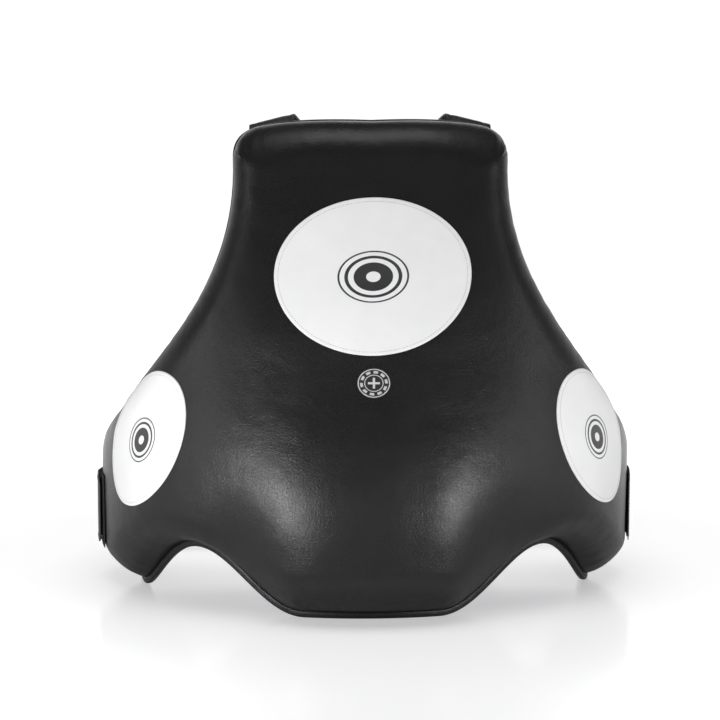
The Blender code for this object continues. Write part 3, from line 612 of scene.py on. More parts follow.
def edge_radius(along, z):
    """How far in the leather takes to reach its full height. It is widest at the foot of the flap."""
    foot = np.exp(-(along / FOOT_SPREAD[0]) ** 4) * np.exp(-(z / FOOT_SPREAD[1]) ** 2)
    chest = climb(z, CHEST_BAND) * (1 - climb(np.abs(along), CHEST_SIDES))
    return (EDGE_RADIUS + FLANK_EXTRA * mound(along, z, FLANK_MIDDLE, FLANK_SPREAD)
            + FOOT_EXTRA * foot - CHEST_LESS * chest)


def flank_hollow(along, z):
    """The dip between the rounded belly and each wing, which makes the belly stand out."""
    return HOLLOW_DEPTH * mound(along, z, HOLLOW_MIDDLE, HOLLOW_SPREAD)


def leather_height(along, z):
    """Height of the cover's outer face above the body side. Its edge is softest near the floor."""
    along, z = np.asarray(along, float), np.asarray(z, float) + 0.0 * np.asarray(along, float)
    distance, where = from_edge(along, z)
    inside = distance - FLANGE
    full = pad_thickness(along, z) - FLANGE_TOP - flank_hollow(along, z)
    share = np.clip(inside / edge_radius(along, z), 0.0, 1.0)
    power = EDGE_POWER - FOOT_SOFTER * (1 - climb(z, FOOT_BAND))
    height = FLANGE_TOP + full * (1 - (1 - share) ** power) ** (1 / power)
    strength = 0.25 + 0.75 * np.clip(np.interp(where, OUTLINE_LENGTH, BEND) / FULL_BEND, 0.0, 1.0)
    sign = np.where(along < 0, 31.0, 0.0)
    ruck = wander(where + sign, 0.012 * distance / PUCKER_FADE, 85.0, 3.0)
    fade = smooth(inside / PUCKER_START) * np.exp(-np.maximum(inside - PUCKER_START, 0.0) / PUCKER_FADE)
    swell = wander(along, z, 13.0, 8.0) * UNEVEN + wander(along, z, 34.0, 5.0) * UNEVEN * 0.35
    return height + ruck * PUCKER * strength * fade + swell * smooth(inside / 0.03)


def leather_place(along, z):
    """Where a point of the cut goes. At the chest edge the padding swells out over its flange."""
    distance, where = from_edge(along, z)
    share = np.clip((distance - FLANGE) / EDGE_RADIUS, 0.0, 1.0)
    rise = (1 - (1 - share) ** EDGE_POWER) ** (1 / EDGE_POWER)
    swell = np.sin(math.pi * np.clip(rise, 0.0, 1.0) ** 0.6)
    amount = CHEST_OVERHANG * (1 - climb(where, OVERHANG_END)) * swell
    edge = np.stack([np.interp(where, OUTLINE_LENGTH, column) for column in OUTLINE.T], axis=-1)
    outward = edge - np.stack([np.abs(along), z], axis=-1)
    outward /= np.maximum(np.linalg.norm(outward, axis=-1), 1e-6)[..., None]
    side = np.where(along < 0, -1.0, 1.0) * (np.abs(along) > 1e-7)
    return along + side * outward[..., 0] * amount, z + outward[..., 1] * amount, leather_height(along, z)


print("belly stands out", round(float(leather_height(0.0, 0.12)) * 1000, 1), "mm")


# %% [markdown]
# ## From points to meshes
# `new_piece` makes any object, with its map in metres. `tube_faces` joins the stations of a swept
# section. `cut_mesh` fills the flat cut: quads between the rings at the edge and triangles inside, made
# for one half and mirrored, so that both halves match.

# %% Mesh helpers
def new_piece(name, points, faces, material, uv=None, crease=50):
    """An object from points and faces. uv holds one place, in metres, for each point."""
    mesh = bpy.data.meshes.new(name)
    mesh.from_pydata(np.reshape(points, (-1, 3)).tolist(), [], faces)
    bm = bmesh.new()
    bm.from_mesh(mesh)
    if bm.calc_volume(signed=True) < 0:
        bmesh.ops.reverse_faces(bm, faces=bm.faces)
    bm.to_mesh(mesh)
    bm.free()
    if uv is not None:
        corners = np.zeros(len(mesh.loops), np.int32)
        mesh.loops.foreach_get("vertex_index", corners)
        layer = mesh.uv_layers.new(name="UVMap")
        layer.uv.foreach_set("vector", np.reshape(uv, (-1, 2))[corners].astype(np.float32).ravel())
    mesh.materials.append(material)
    mesh.shade_smooth()
    mesh.set_sharp_from_angle(angle=math.radians(crease))
    piece = bpy.data.objects.new(name, mesh)
    bpy.context.scene.collection.objects.link(piece)
    return piece


def tube_faces(stations, corners, closed):
    """Quads of a section carried past stations. closed joins the last station to the first."""
    faces = []
    for i in range(stations if closed else stations - 1):
        here, there = i * corners, (i + 1) % stations * corners
        faces += [(here + j, here + (j + 1) % corners, there + (j + 1) % corners, there + j)
                  for j in range(corners)]
    if not closed:
        last = (stations - 1) * corners
        faces += [tuple(range(corners))[::-1], tuple(range(last, last + corners))]
    return faces


def cut_mesh(insets, spacing):
    """(points, faces, rim) of the whole cut: quads between rings, and triangles inside the last."""
    rings = [ring(inset) for inset in insets]
    count, last = len(rings[0]), rings[-1]
    rows = np.arange(spacing, PAD_HEIGHT, spacing * 0.866)
    inner = np.array([(along + (row % 2) * spacing / 2, z) for row, z in enumerate(rows)
                      for along in np.arange(spacing, WING_REACH, spacing)])
    inner = inner[in_cut(inner)]
    inner = inner[from_edge(*inner.T)[0] > insets[-1] + spacing * 0.5]
    spine = [(0.0, z) for z in rows if last[-1, 1] + spacing * 0.5 < z < last[0, 1] - spacing * 0.5]
    patch = np.vstack([last, inner, spine])
    first_spine = count + len(inner)
    middle = [count - 1, *range(first_spine, len(patch)), 0]
    edges = [(i, i + 1) for i in range(count - 1)] + list(zip(middle, middle[1:]))
    found, _, triangles, _, _, _ = delaunay_2d_cdt([Vector(p) for p in patch], edges, [], 1, 1e-8)
    before = (len(rings) - 1) * count
    right = np.vstack(rings[:-1] + [[tuple(p) for p in found]])
    faces = [tuple(before + i for i in triangle) for triangle in triangles]
    for k in range(len(rings) - 1):
        faces += [(k * count + i, (k + 1) * count + i, (k + 1) * count + i + 1, k * count + i + 1)
                  for i in range(count - 1)]
    off_centre = right[:, 0] > 1e-7
    twin = np.arange(len(right))
    twin[off_centre] = len(right) + np.arange(off_centre.sum())
    points = np.vstack([right, right[off_centre] * (-1.0, 1.0)])
    faces += [tuple(int(twin[i]) for i in face[::-1]) for face in faces]
    rim = [*range(count), *(int(twin[i]) for i in range(count - 2, 0, -1))]
    return points, faces, rim


def in_cut(points):
    """Which points lie inside the right half of the outline."""
    start, end = OUTLINE, np.roll(OUTLINE, -1, axis=0)
    z = points[:, 1][:, None]
    crosses = (start[:, 1] > z) != (end[:, 1] > z)
    rise = np.where(end[:, 1] == start[:, 1], 1.0, end[:, 1] - start[:, 1])
    reach = start[:, 0] + (z - start[:, 1]) / rise * (end[:, 0] - start[:, 0])
    return (crosses & (points[:, 0][:, None] < reach)).sum(axis=1) % 2 == 1


def shell(name, insets, spacing, under, over, material):
    """A closed layer of the pad. under gives heights; over gives (along, z, height) of its outer face."""
    cut, faces, rim = cut_mesh(insets, spacing)
    along, z = cut.T
    count = len(cut)
    points = np.vstack([torso_point(*over(along, z)), torso_point(along, z, under(along, z))])
    back = [tuple(count + i for i in face[::-1]) for face in faces]
    wall = [(i, j, count + j, count + i) for i, j in zip(rim, rim[1:] + rim[:1])]
    return new_piece(name, points, faces + back + wall, material, np.vstack([cut, cut]))


# %% [markdown]
# ## Cover and lining
# The leather cover and the cloth lining have the same cut. Each is a closed layer between two faces, so
# that it has a real edge where the binding holds it.

# %% The cover and the lining
COVER_RINGS = (HEM_INSET, 0.0045, 0.0066, 0.0074, 0.0078, 0.0082, 0.0088, 0.0097, 0.0110, 0.0127,
               0.0148, 0.0175, 0.0210, 0.0255)
pad_cover = shell("pad_cover", COVER_RINGS, 0.0055, lambda along, z: COVER_FOOT + 0.0 * along,
                  leather_place, BLACK_LEATHER)


def lining_face(along, z):
    """The body side of the lining, slightly sunk where the tape holds it and soft in the middle."""
    inside = from_edge(along, z)[0] - 0.010
    return -0.0011 * smooth(inside / 0.020) * (1 + 0.5 * wander(along, z, 22.0, 2.0))


lining = shell("body_lining", (HEM_INSET, 0.0078, 0.0125, 0.020), 0.011, lining_face,
               lambda along, z: (along, z, LINING_T + 0.0 * along), LINING_CLOTH)
print("cover:", len(pad_cover.data.polygons), "faces; lining:", len(lining.data.polygons), "faces")

# %% [markdown]
# ## The binding tape
# A strip of thinner leather is folded over the flange and sewn through. It is a U-shaped section
# carried round the outline, wandering a little in width as hand-fed tape does.

# %% Binding
TAPE_UNDER, TAPE_OVER, TAPE_REACH = -SEWN_GAP, FLANGE_TOP + SEWN_GAP, FLANGE - SEWN_GAP


def binding_section(reach):
    """Corners (inset, height) of the folded tape, outside first, for each station's reach."""
    low, high, soft = TAPE_UNDER - BINDING_T, TAPE_OVER + BINDING_T, 0.0022
    outside = [(1.0, low + 0.0003), (0.93, low), (0.6, low)]
    outside += [(soft * (1 - math.sin(a)) / TAPE_REACH, low + soft * (1 - math.cos(a)))
                for a in np.linspace(0.0, math.pi / 2, 6)]
    outside += [(i, low + high - h) for i, h in outside[::-1]]
    inner = [(1.0, TAPE_OVER), (0.35, TAPE_OVER), (BINDING_T / TAPE_REACH, TAPE_OVER - 0.0008),
             (BINDING_T / TAPE_REACH, TAPE_UNDER + 0.0008), (0.35, TAPE_UNDER), (1.0, TAPE_UNDER)]
    return [(inset * reach, height) for inset, height in outside + inner]


def edge_reach():
    walk = lengths_along(whole_ring(0.0))
    return TAPE_REACH * (1 + 0.04 * wander(walk, 0.0 * walk, 30.0, 12.0))


rails = [torso_point(*(whole_ring(0.0) + inset[:, None] * np.vstack([INWARD, INWARD[-2:0:-1] * (-1, 1)])).T,
                     height) for inset, height in binding_section(edge_reach())]
rails = np.stack(rails, axis=1)
edge_binding = new_piece("edge_binding_tape", rails, tube_faces(*rails.shape[:2], True), BINDING_LEATHER)
print("binding:", len(edge_binding.data.polygons), "faces")

# %% [markdown]
# ## White ovals
# Three ovals of white leather mark where to strike. Each is a disc of rings on the curved leather, with
# its edge turned down, and its own flat map in metres for the printed target and the grain.

# %% White leather with a printed target
def target_leather(name, half_width, half_height):
    """White pebbled leather. The print is a disc with a white eye, inside two thin rings."""
    made = Finish(name)
    place = made.add("UVMap")
    split = made.tree.nodes.new("ShaderNodeSeparateXYZ")
    made.tree.links.new(place.socket, split.inputs[0])
    across, up = Wire(made.tree, split.outputs[0]), Wire(made.tree, split.outputs[1])
    cells = made.add("TexVoronoi", {"Vector": place, "Scale": 900.0, "Smoothness": 0.6},
                     {"feature": "SMOOTH_F1"})
    hide = made.add("TexNoise", {"Vector": place, "Scale": 40.0, "Detail": 3.0})
    scuff = made.add("TexNoise", {"Vector": place, "Scale": 16.0, "Detail": 4.0})
    reach = ((across / half_width) ** 2.0 + (up / half_height) ** 2.0).root()
    disc = reach.over(0.11) * reach.under(0.30)
    inner_ring = reach.over(0.385) * reach.under(0.44)
    outer_ring = reach.over(0.515) * reach.under(0.545)
    ink = disc.most(inner_ring).most(outer_ring)
    leather_shade = made.mix(hide * 0.5 + scuff * 0.5, (0.80, 0.80, 0.805, 1.0), (0.90, 0.90, 0.90, 1.0))
    shade = made.mix(ink * (0.94 + scuff * 0.06), leather_shade, (0.012, 0.012, 0.013, 1.0))
    pebbles = made.bump(cells * -1.0, 0.00008)
    return made.set(Base_Color=shade, Roughness=0.46 + (hide - 0.5) * 0.15 - ink * 0.08,
                    Normal=made.bump(hide, 0.0004, pebbles))


# %% Ovals on the curved leather
OVAL_LIFT, OVAL_SEAM = 0.0003, 0.0042


def oval(name, along, z, half_width, half_height, turn, material, thick=PATCH_T, lift=OVAL_LIFT, spokes=120,
         rings=26):
    """A closed disc on the leather. Its map runs across and up from its middle, in metres."""
    share = np.sin(np.linspace(0.0, math.pi / 2, rings))[1:]
    angle = np.linspace(0.0, 2 * math.pi, spokes, endpoint=False)
    flat = np.vstack([[(0.0, 0.0)]] + [np.stack([half_width * s * np.cos(angle),
                                                 half_height * s * np.sin(angle)], axis=1) for s in share])
    at_along = along + flat[:, 0] * math.cos(turn) - flat[:, 1] * math.sin(turn)
    at_z = z + flat[:, 0] * math.sin(turn) + flat[:, 1] * math.cos(turn)
    foot = leather_height(at_along, at_z)
    inside = (1 - np.concatenate([[0.0], np.repeat(share, spokes)])) * min(half_width, half_height)
    top = thick * np.sqrt(1 - np.clip(1 - inside / 0.0011, 0.0, 1.0) ** 2) * 0.75 + thick * 0.25
    points = np.vstack([torso_point(at_along, at_z, foot + lift + top),
                        torso_point(at_along, at_z, foot + lift - 0.0008)])
    count = len(flat)
    faces = [(0, 1 + j, 1 + (j + 1) % spokes) for j in range(spokes)]
    for k in range(rings - 2):
        here, there = 1 + k * spokes, 1 + (k + 1) * spokes
        faces += [(here + j, there + j, there + (j + 1) % spokes, here + (j + 1) % spokes)
                  for j in range(spokes)]
    rim = [count - spokes + j for j in range(spokes)]
    back = [tuple(count + i for i in face[::-1]) for face in faces]
    wall = [(i, count + i, count + j, j) for i, j in zip(rim, rim[1:] + rim[:1])]
    return new_piece(name, points, faces + back + wall, material, np.vstack([flat, flat]))


def oval_row(along, z, half_width, half_height, turn, inset, lift):
    """Points of a sewn row inside an oval's edge."""
    angle = np.linspace(0.0, 2 * math.pi, 161)
    du, dv = (half_width - inset) * np.cos(angle), (half_height - inset) * np.sin(angle)
    at_along = along + du * math.cos(turn) - dv * math.sin(turn)
    at_z = z + du * math.sin(turn) + dv * math.cos(turn)
    return torso_point(at_along, at_z, leather_height(at_along, at_z) + lift)


OVALS = {"centre_patch": (0.0, 0.402, 0.098, 0.087, math.radians(4)),
         "left_patch": (-0.251, 0.200, 0.048, 0.090, math.radians(-26)),
         "right_patch": (0.251, 0.200, 0.048, 0.090, math.radians(26))}
ovals = [oval(name + "_leather", *shape, target_leather(name + "_white", shape[2] * 0.66, shape[3] * 0.60))
         for name, shape in OVALS.items()]
oval_rows = [oval_row(*shape, OVAL_SEAM, OVAL_LIFT + PATCH_T + THREAD_LIFT) for shape in OVALS.values()]
print("ovals:", [piece.name for piece in ovals])


# %% [markdown]
# ## The maker's roundel
# A small round mark is printed below the centre oval. Here it is two plain rings, a ring of dots and a
# small cross, on a thin film that takes the leather's own finish round the print.

# %% Roundel
def roundel_finish(radius):
    """Black leather with pale rings and dots printed on it."""
    made = Finish("roundel_print")
    place = made.add("UVMap")
    split = made.tree.nodes.new("ShaderNodeSeparateXYZ")
    made.tree.links.new(place.socket, split.inputs[0])
    across, up = Wire(made.tree, split.outputs[0]), Wire(made.tree, split.outputs[1])
    reach = (across ** 2.0 + up ** 2.0).root() / radius
    turn = up.math("ARCTAN2", up, across)
    rings = (reach.over(0.90) * reach.under(0.96)).most(reach.over(0.52) * reach.under(0.57))
    dots = (turn * 10.0).sine().over(-0.25) * reach.over(0.66) * reach.under(0.82)
    cross = abs(across).under(radius * 0.07).most(abs(up).under(radius * 0.07)) * reach.under(0.36)
    worn = made.add("TexNoise", {"Vector": place, "Scale": 900.0, "Detail": 3.0})
    ink = rings.most(dots).most(cross)
    hide = made.add("TexVoronoi", {"Vector": place, "Scale": 950.0}, {"feature": "SMOOTH_F1"})
    return made.set(Base_Color=made.mix(ink * (0.75 + worn * 0.25), grey(0.016), grey(0.62)),
                    Roughness=0.42 + ink * 0.1, Normal=made.bump(hide * -1.0, 0.0001))


ROUNDEL_RADIUS, ROUNDEL_Z = 0.0165, 0.2845
roundel = oval("printed_roundel", 0.0, ROUNDEL_Z, ROUNDEL_RADIUS, ROUNDEL_RADIUS, 0.0,
               roundel_finish(ROUNDEL_RADIUS), thick=0.0002, lift=0.0001, spokes=64, rings=10)
print("roundel:", roundel.name)

# %% [markdown]
# ## Straps and bands
# Straps, tabs and the belt are all bands: a section with soft edges carried along a path. `place`
# tells where a point of the band is, from its length along the path, its offset across it and its
# height, so that stitches can be laid on the same band later.

# %% Strips and bands
def torso_strip(start, end, z_at, height_at):
    """place and length of a strip laid round the torso, from one length round the body to another."""
    first, last = np.array([start, z_at(start)]), np.array([end, z_at(end)])
    total = np.linalg.norm(last - first)
    forward = (last - first) / total

    def place(length, offset, up):
        along = start + forward[0] * length
        point = torso_point(along - forward[1] * offset, first[1] + forward[1] * length
                            + forward[0] * offset, height_at(along) + up)
        return point
    return place, total


def free_strip(controls):
    """place and length of a strip through (point, normal) controls."""
    both = np.array([(*point, *normal) for point, normal in controls], float)
    ends = np.vstack([2 * both[0] - both[1], both, 2 * both[-1] - both[-2]])
    fine = []
    for a, b, c, d in zip(ends, ends[1:], ends[2:], ends[3:]):
        t = np.linspace(0.0, 1.0, 24, endpoint=False)[:, None]
        fine.append(0.5 * (2 * b + (c - a) * t + (2 * a - 5 * b + 4 * c - d) * t ** 2
                           + (3 * b - a - 3 * c + d) * t ** 3))
    fine = np.vstack(fine + [both[-1:]])
    length = lengths_along(fine[:, :3])
    forward = np.gradient(fine[:, :3], length, axis=0)
    forward /= np.linalg.norm(forward, axis=1)[:, None]
    normal = fine[:, 3:] - (fine[:, 3:] * forward).sum(axis=1)[:, None] * forward
    normal /= np.linalg.norm(normal, axis=1)[:, None]
    frame_at = np.hstack([fine[:, :3], np.cross(forward, normal), normal])

    def place(at, offset, up):
        at = np.asarray(at, float)
        parts = np.stack([np.interp(at, length, column) for column in frame_at.T], axis=-1)
        return parts[..., :3] + parts[..., 3:6] * np.asarray(offset)[..., None] \
            + parts[..., 6:] * np.asarray(up)[..., None]
    return place, length[-1]


def band(name, place, span, half_width, top, bottom, material, step=0.004, across=25, crisp=10.0,
         taper=0.0016):
    """A closed band over a span of lengths. top and bottom give its faces' heights."""
    lengths = np.linspace(*span, max(4, int(abs(span[1] - span[0]) / step)))
    ends = np.clip(np.minimum(lengths - span[0], span[1] - lengths) / taper, 0.0, 1.0)
    thin = np.sqrt(1 - (1 - ends) ** 2) * 0.65 + 0.35
    share = np.sin(np.linspace(-1.0, 1.0, across) * math.pi / 2)
    loop_share = np.concatenate([share, share[-2:0:-1]])
    face = np.where(np.arange(len(loop_share)) < across, 1.0, -1.0)
    at = lengths[:, None] + 0.0 * loop_share
    width = half_width(lengths) if callable(half_width) else half_width + 0.0 * lengths
    offset = loop_share * width[:, None]
    high, low = top(at, offset) + 0.0 * at, bottom(at, offset) + 0.0 * at
    edge = (1 - np.abs(loop_share) ** crisp) ** (1 / crisp)
    up = (high + low) / 2 + face * (high - low) / 2 * edge * thin[:, None]
    points = place(at, offset, up)
    return new_piece(name, points, tube_faces(len(lengths), len(loop_share), False), material,
                     np.stack([at, offset], axis=-1))


def level(height):
    return lambda at, offset: height + 0.0 * at


def on_band(place, at, off, height):
    """Points on a band, whose height is one number or a face."""
    return place(at, off, (height(at, off) if callable(height) else height) + 0.0 * at)


def sewn_run(place, span, offset, height, count=60):
    """Points of a row sewn along a band."""
    at = np.linspace(*span, count)
    return on_band(place, at, offset + 0.0 * at, height)


def box_rows(place, span, half_width, height, crossed=False):
    """A sewn rectangle on a band, and its diagonals if it is crossed."""
    start, end = span
    corners = [(start, -half_width), (end, -half_width), (end, half_width), (start, half_width),
               (start, -half_width)]
    runs = [(a, b) for a, b in zip(corners, corners[1:])]
    if crossed:
        runs += [(corners[0], corners[2]), (corners[1], corners[3])]
    rows = []
    for (at_a, off_a), (at_b, off_b) in runs:
        t = np.linspace(0.0, 1.0, 24)
        rows.append(on_band(place, at_a + (at_b - at_a) * t, off_a + (off_b - off_a) * t, height))
    return rows


print("bands are ready")

# %% [markdown]
# ## Shoulder harness
# Two padded straps are sewn inside the chest edge, pass over the shoulders, and cross behind the back.
# Each is leather turned in at its edges over a strip of foam, with a sewn channel along both sides, so
# its face is thin at the hems and full in the middle.

# %% Straps
STRAP_WIDTH, STRAP_X, STRAP_FOAM_T, STRAP_COVER_T = 0.052, 0.112, 0.0036, 0.0014
STRAP_SLOPE, STRAP_DROP, STRAP_HEM = math.radians(14), 0.0045, 0.0062
ANCHOR_LENGTH, HINGE_RISE, HINGE_BACK, HINGE_CLEAR = 0.042, 0.004, 0.011, 0.008
CROSS_Z, CROSS_OUT, KEEPER, KEEPER_T, TAIL_WIDTH, TAIL_T = 0.375, 0.012, 0.056, 0.0016, 0.044, 0.0024
TAB_REACH, TAB_Z, TAB_SEWN, TAB_T, TAB_RISE = 0.115, 0.168, 0.034, 0.0020, 0.022
TOUCH_T, TOUCH_EDGE = 0.0014, 0.004
TAIL_START, TAIL_END, TAIL_OUT, TAIL_ROUND = ROUND - 0.088, WING_REACH + 0.028, 0.0085, 0.014
LINING_CLEAR = SEWN_GAP + BINDING_T + 2 * SOFT_GAP
STRAP_PILE = STRAP_FOAM_T + 2 * (STRAP_COVER_T + SEWN_GAP)
SIDES = ((-1, "left"), (1, "right"))


def tab_height(along):
    """Height of the line from a wing tab up to the crossing."""
    length = side_of(along)[1]
    return TAB_Z + (CROSS_Z - TAB_Z) / (ROUND - WING_REACH) * (length - WING_REACH)


def chest_back(x):
    along = np.interp(abs(x), PLAN_X[:400], PLAN_LENGTH[:400])
    return torso_point(math.copysign(along, x), PAD_HEIGHT, 0.0), along


FOLD_Y, FOLD_Z = chest_back(STRAP_X)[0][1] + HINGE_BACK, PAD_HEIGHT + HINGE_RISE


def strap_controls(side):
    """(point, normal) controls from the lining, over the fold, to the start of the tail."""
    stack = side * -(STRAP_PILE / 2 + SEWN_GAP + SOFT_GAP / 2)
    crossing = torso_point(ROUND, CROSS_Z, CROSS_OUT + stack)
    lean_out = side * math.sin(STRAP_SLOPE)
    along = chest_back(STRAP_X)[1]
    edge_z = np.interp(along, OUTLINE[:200, 0], OUTLINE[:200, 1])
    sewn = [(torso_point(side * along, edge_z - drop, -LINING_CLEAR - 0.0012),
             (-lean_out * 0.4, -1.0, 0.0)) for drop in (ANCHOR_LENGTH, ANCHOR_LENGTH - 0.016)]
    leave = np.array([side * STRAP_X * 0.93, FOLD_Y + 0.030, FOLD_Z - 0.012 - STRAP_DROP])
    return sewn + [
        ((side * STRAP_X, FOLD_Y - 0.0085, FOLD_Z - 0.0140), (lean_out * 0.6, -0.92, 0.35)),
        ((side * STRAP_X * 0.995, FOLD_Y + 0.0015, FOLD_Z - STRAP_DROP - 0.0022), (lean_out, 0.00, 0.97)),
        (leave, (lean_out, 0.40, 0.90)),
        ((side * STRAP_X * 0.66, FOLD_Y + (crossing[1] - FOLD_Y) * 0.58, FOLD_Z - 0.062),
         (lean_out * 0.5, 0.60, 0.80)),
        ((side * STRAP_X * 0.40, crossing[1] - 0.014, CROSS_Z + 0.075), (0.0, 0.86, 0.51)),
        ((side * STRAP_X * 0.22, crossing[1] - 0.0008, CROSS_Z + 0.040), (0.0, 1.0, 0.0)),
        (crossing, (0.0, 1.0, 0.0)),
        (torso_point(-side * (ROUND - 0.045), tab_height(ROUND - 0.045), CROSS_OUT + stack),
         torso_out(-side * (ROUND - 0.045))),
        (torso_point(-side * TAIL_START, tab_height(TAIL_START), TAIL_OUT), torso_out(-side * TAIL_START))]


def strap_faces(total, fold_at):
    """Heights of a strap's leather face and lining face along its length."""
    hem, channel = STRAP_HEM, 0.0011

    def full(at):
        grow = smooth((at - fold_at) / 0.03)
        close = smooth((total - at) / 0.012)
        return grow * (0.35 + 0.65 * close)

    def top(at, offset):
        inside = STRAP_WIDTH / 2 - np.abs(offset)
        puff = smooth((inside - hem) / 0.009) * 0.75 + smooth((inside - hem) / 0.022) * 0.25
        groove = np.exp(-((inside - hem) / channel) ** 2) * 0.0005
        ripple = 0.00025 * wander(at, offset, 60.0, 4.0)
        return 0.0012 + full(at) * (0.0006 + 0.0021 * puff + ripple) - groove

    def bottom(at, offset):
        inside = STRAP_WIDTH / 2 - np.abs(offset)
        groove = np.exp(-((inside - hem) / channel) ** 2) * 0.0004
        return -0.0012 - full(at) * 0.0022 + groove
    return top, bottom


straps, strap_linings, strap_rows, tails, tail_rows, tail_hooks = {}, {}, {}, {}, {}, {}
for side, word in SIDES:
    place, total = free_strip(strap_controls(side))
    fold_at = ANCHOR_LENGTH
    top, bottom = strap_faces(total, fold_at)
    under = lambda at, offset: bottom(at, offset) + STRAP_COVER_T * 0.7
    straps[word] = band(word + "_shoulder_strap", place, (0.0, total), STRAP_WIDTH / 2, top, under,
                        STRAP_LEATHER, step=0.0045, across=45, crisp=14.0)
    strap_linings[word] = band(word + "_strap_backing", place, (0.004, total - 0.002),
                               STRAP_WIDTH / 2 - 0.0006,
                               lambda at, offset: bottom(at, offset) + STRAP_COVER_T * 0.68, bottom,
                               LINING_CLOTH, step=0.006, across=31, crisp=14.0)
    strap_rows[word] = [sewn_run(place, (fold_at + 0.006, total - 0.003), s * (STRAP_WIDTH / 2 - STRAP_HEM),
                                 lambda at, offset: top(at, offset) + THREAD_LIFT, 160)
                        for s in (-1, 1)]
    strap_rows[word + "_sewn_end"] = box_rows(place, (0.005, 0.034), STRAP_WIDTH / 2 - 0.005,
                                              lambda at, offset: bottom(at, offset) - THREAD_LIFT, True)
print("straps:", round(total, 3), "m long each")

# %% [markdown]
# ## Tails, tabs and keepers
# Each strap ends in a flat tail with hook tape, which presses onto a loop-faced tab inside the wing on
# the far side. Two square keepers, sewn with a cross, hold the straps where they cross.

# %% Tails and wing tabs
wing_tabs, tab_loops, tab_rows = {}, {}, {}
for side, word in SIDES:
    far = -side
    place, total = torso_strip(far * (TAIL_START + 0.010), far * TAIL_END, tab_height, lambda along: TAIL_OUT)

    def tip(at, total=total):
        rounding = np.clip(1 - (total - at + 0.0005) / TAIL_ROUND, 0, 1)
        return TAIL_WIDTH / 2 * np.sqrt(np.maximum(1 - rounding ** 2, 0.02))

    tails[word] = band(word + "_tail_strap", place, (0.0, total), tip, level(TAIL_T / 2), level(-TAIL_T / 2),
                       STRAP_LEATHER, step=0.003, across=21)
    tail_rows[word] = [sewn_run(place, (0.014, total - 0.010), s * (TAIL_WIDTH / 2 - 0.0035), TAIL_T / 2)
                       for s in (-1, 1)]
    hook_from = WING_REACH + TAB_REACH - TOUCH_EDGE
    hook, hook_total = torso_strip(far * hook_from, far * (TAIL_END + TAIL_ROUND + TOUCH_EDGE), tab_height,
                                   lambda along: TAIL_OUT - TAIL_T / 2)
    tail_hooks[word] = band(word + "_tail_grip", hook, (0.0, hook_total), TAIL_WIDTH / 2 - TOUCH_EDGE,
                            level(-0.0001), level(-TOUCH_T), HOOK_TAPE, crisp=24.0)
    loop_top = TAIL_OUT - TAIL_T / 2 - 2 * SOFT_GAP - TOUCH_T
    tab_top = loop_top - TOUCH_T - SOFT_GAP * 0.5

    def tab_out(along, tab_top=tab_top):
        rise = smooth((side_of(along)[1] - WING_REACH - 0.010) / TAB_RISE)
        return -LINING_CLEAR + (tab_top + LINING_CLEAR) * rise
    place, total = torso_strip(side * (WING_REACH - TAB_SEWN), side * (WING_REACH + TAB_REACH), tab_height,
                               tab_out)
    wing_tabs[word] = band(word + "_closing_tab", place, (0.0, total), TAIL_WIDTH / 2 + 0.002,
                           level(0.0), level(-TAB_T), STRAP_LEATHER, step=0.003)
    tab_rows[word] = box_rows(place, (0.004, TAB_SEWN - 0.006), TAIL_WIDTH / 2 - 0.003, -TAB_T, True)
    tab_rows[word] += [sewn_run(place, (TAB_SEWN + 0.002, total - 0.003),
                                s * (TAIL_WIDTH / 2 - 0.0012), -TAB_T) for s in (-1, 1)]
    loop, loop_total = torso_strip(side * (WING_REACH + 0.048), side * (WING_REACH + TAB_REACH - TOUCH_EDGE),
                                   tab_height, lambda along: loop_top)
    tab_loops[word] = band(word + "_tab_pile", loop, (0.0, loop_total), TAIL_WIDTH / 2 - TOUCH_EDGE + 0.001,
                           lambda at, offset: 0.0002 + 0.0003 * wander(at, offset, 900.0, 1.0),
                           level(-TOUCH_T - SOFT_GAP * 0.3), LOOP_TAPE, step=0.0016, across=31, crisp=24.0)
print("tails:", list(tails), "tabs:", list(wing_tabs))

# %% Keepers over the crossing
KEEPER_OUT = STRAP_PILE + SEWN_GAP + SOFT_GAP * 1.5
keeper_middle = torso_point(ROUND, CROSS_Z, CROSS_OUT)
keeper_place, keeper_total = free_strip([(keeper_middle + np.array([x, 0.0, 0.0]), (0.0, 1.0, 0.0))
                                         for x in np.linspace(-KEEPER / 2, KEEPER / 2, 5)])


def keeper_bow(at, offset):
    """A keeper bows out over the straps and dips to its sewn edges."""
    near = np.minimum(KEEPER / 2 - np.abs(offset), np.minimum(at, keeper_total - at))
    return -0.0016 * (1 - smooth(near / 0.014))


def keeper_face(sign, rise):
    """Heights of a face that stands by rise over the straps, outside them or (-1) inside."""
    return lambda at, offset: sign * (KEEPER_OUT + rise + keeper_bow(at, offset))


keepers, keeper_rows = {}, []
for word, sign in (("outer", 1), ("inner", -1)):
    faces = keeper_face(sign, KEEPER_T), keeper_face(sign, 0.0)
    keepers[word] = band(word + "_keeper_patch", keeper_place, (0.0, keeper_total), KEEPER / 2,
                         *faces[::sign], STRAP_LEATHER, step=0.002, across=31)
    keeper_rows += box_rows(keeper_place, (0.005, keeper_total - 0.005), KEEPER / 2 - 0.005,
                            keeper_face(sign, KEEPER_T + THREAD_LIFT), True)
print("keepers:", list(keepers))

# %% [markdown]
# ## Waist belt
# A ribbed elastic leaves the right wing, a padded leather panel crosses the back, and a tab with hook
# tape closes on the loop panel of the left wing. Sewn channels divide the padded panel into lanes.

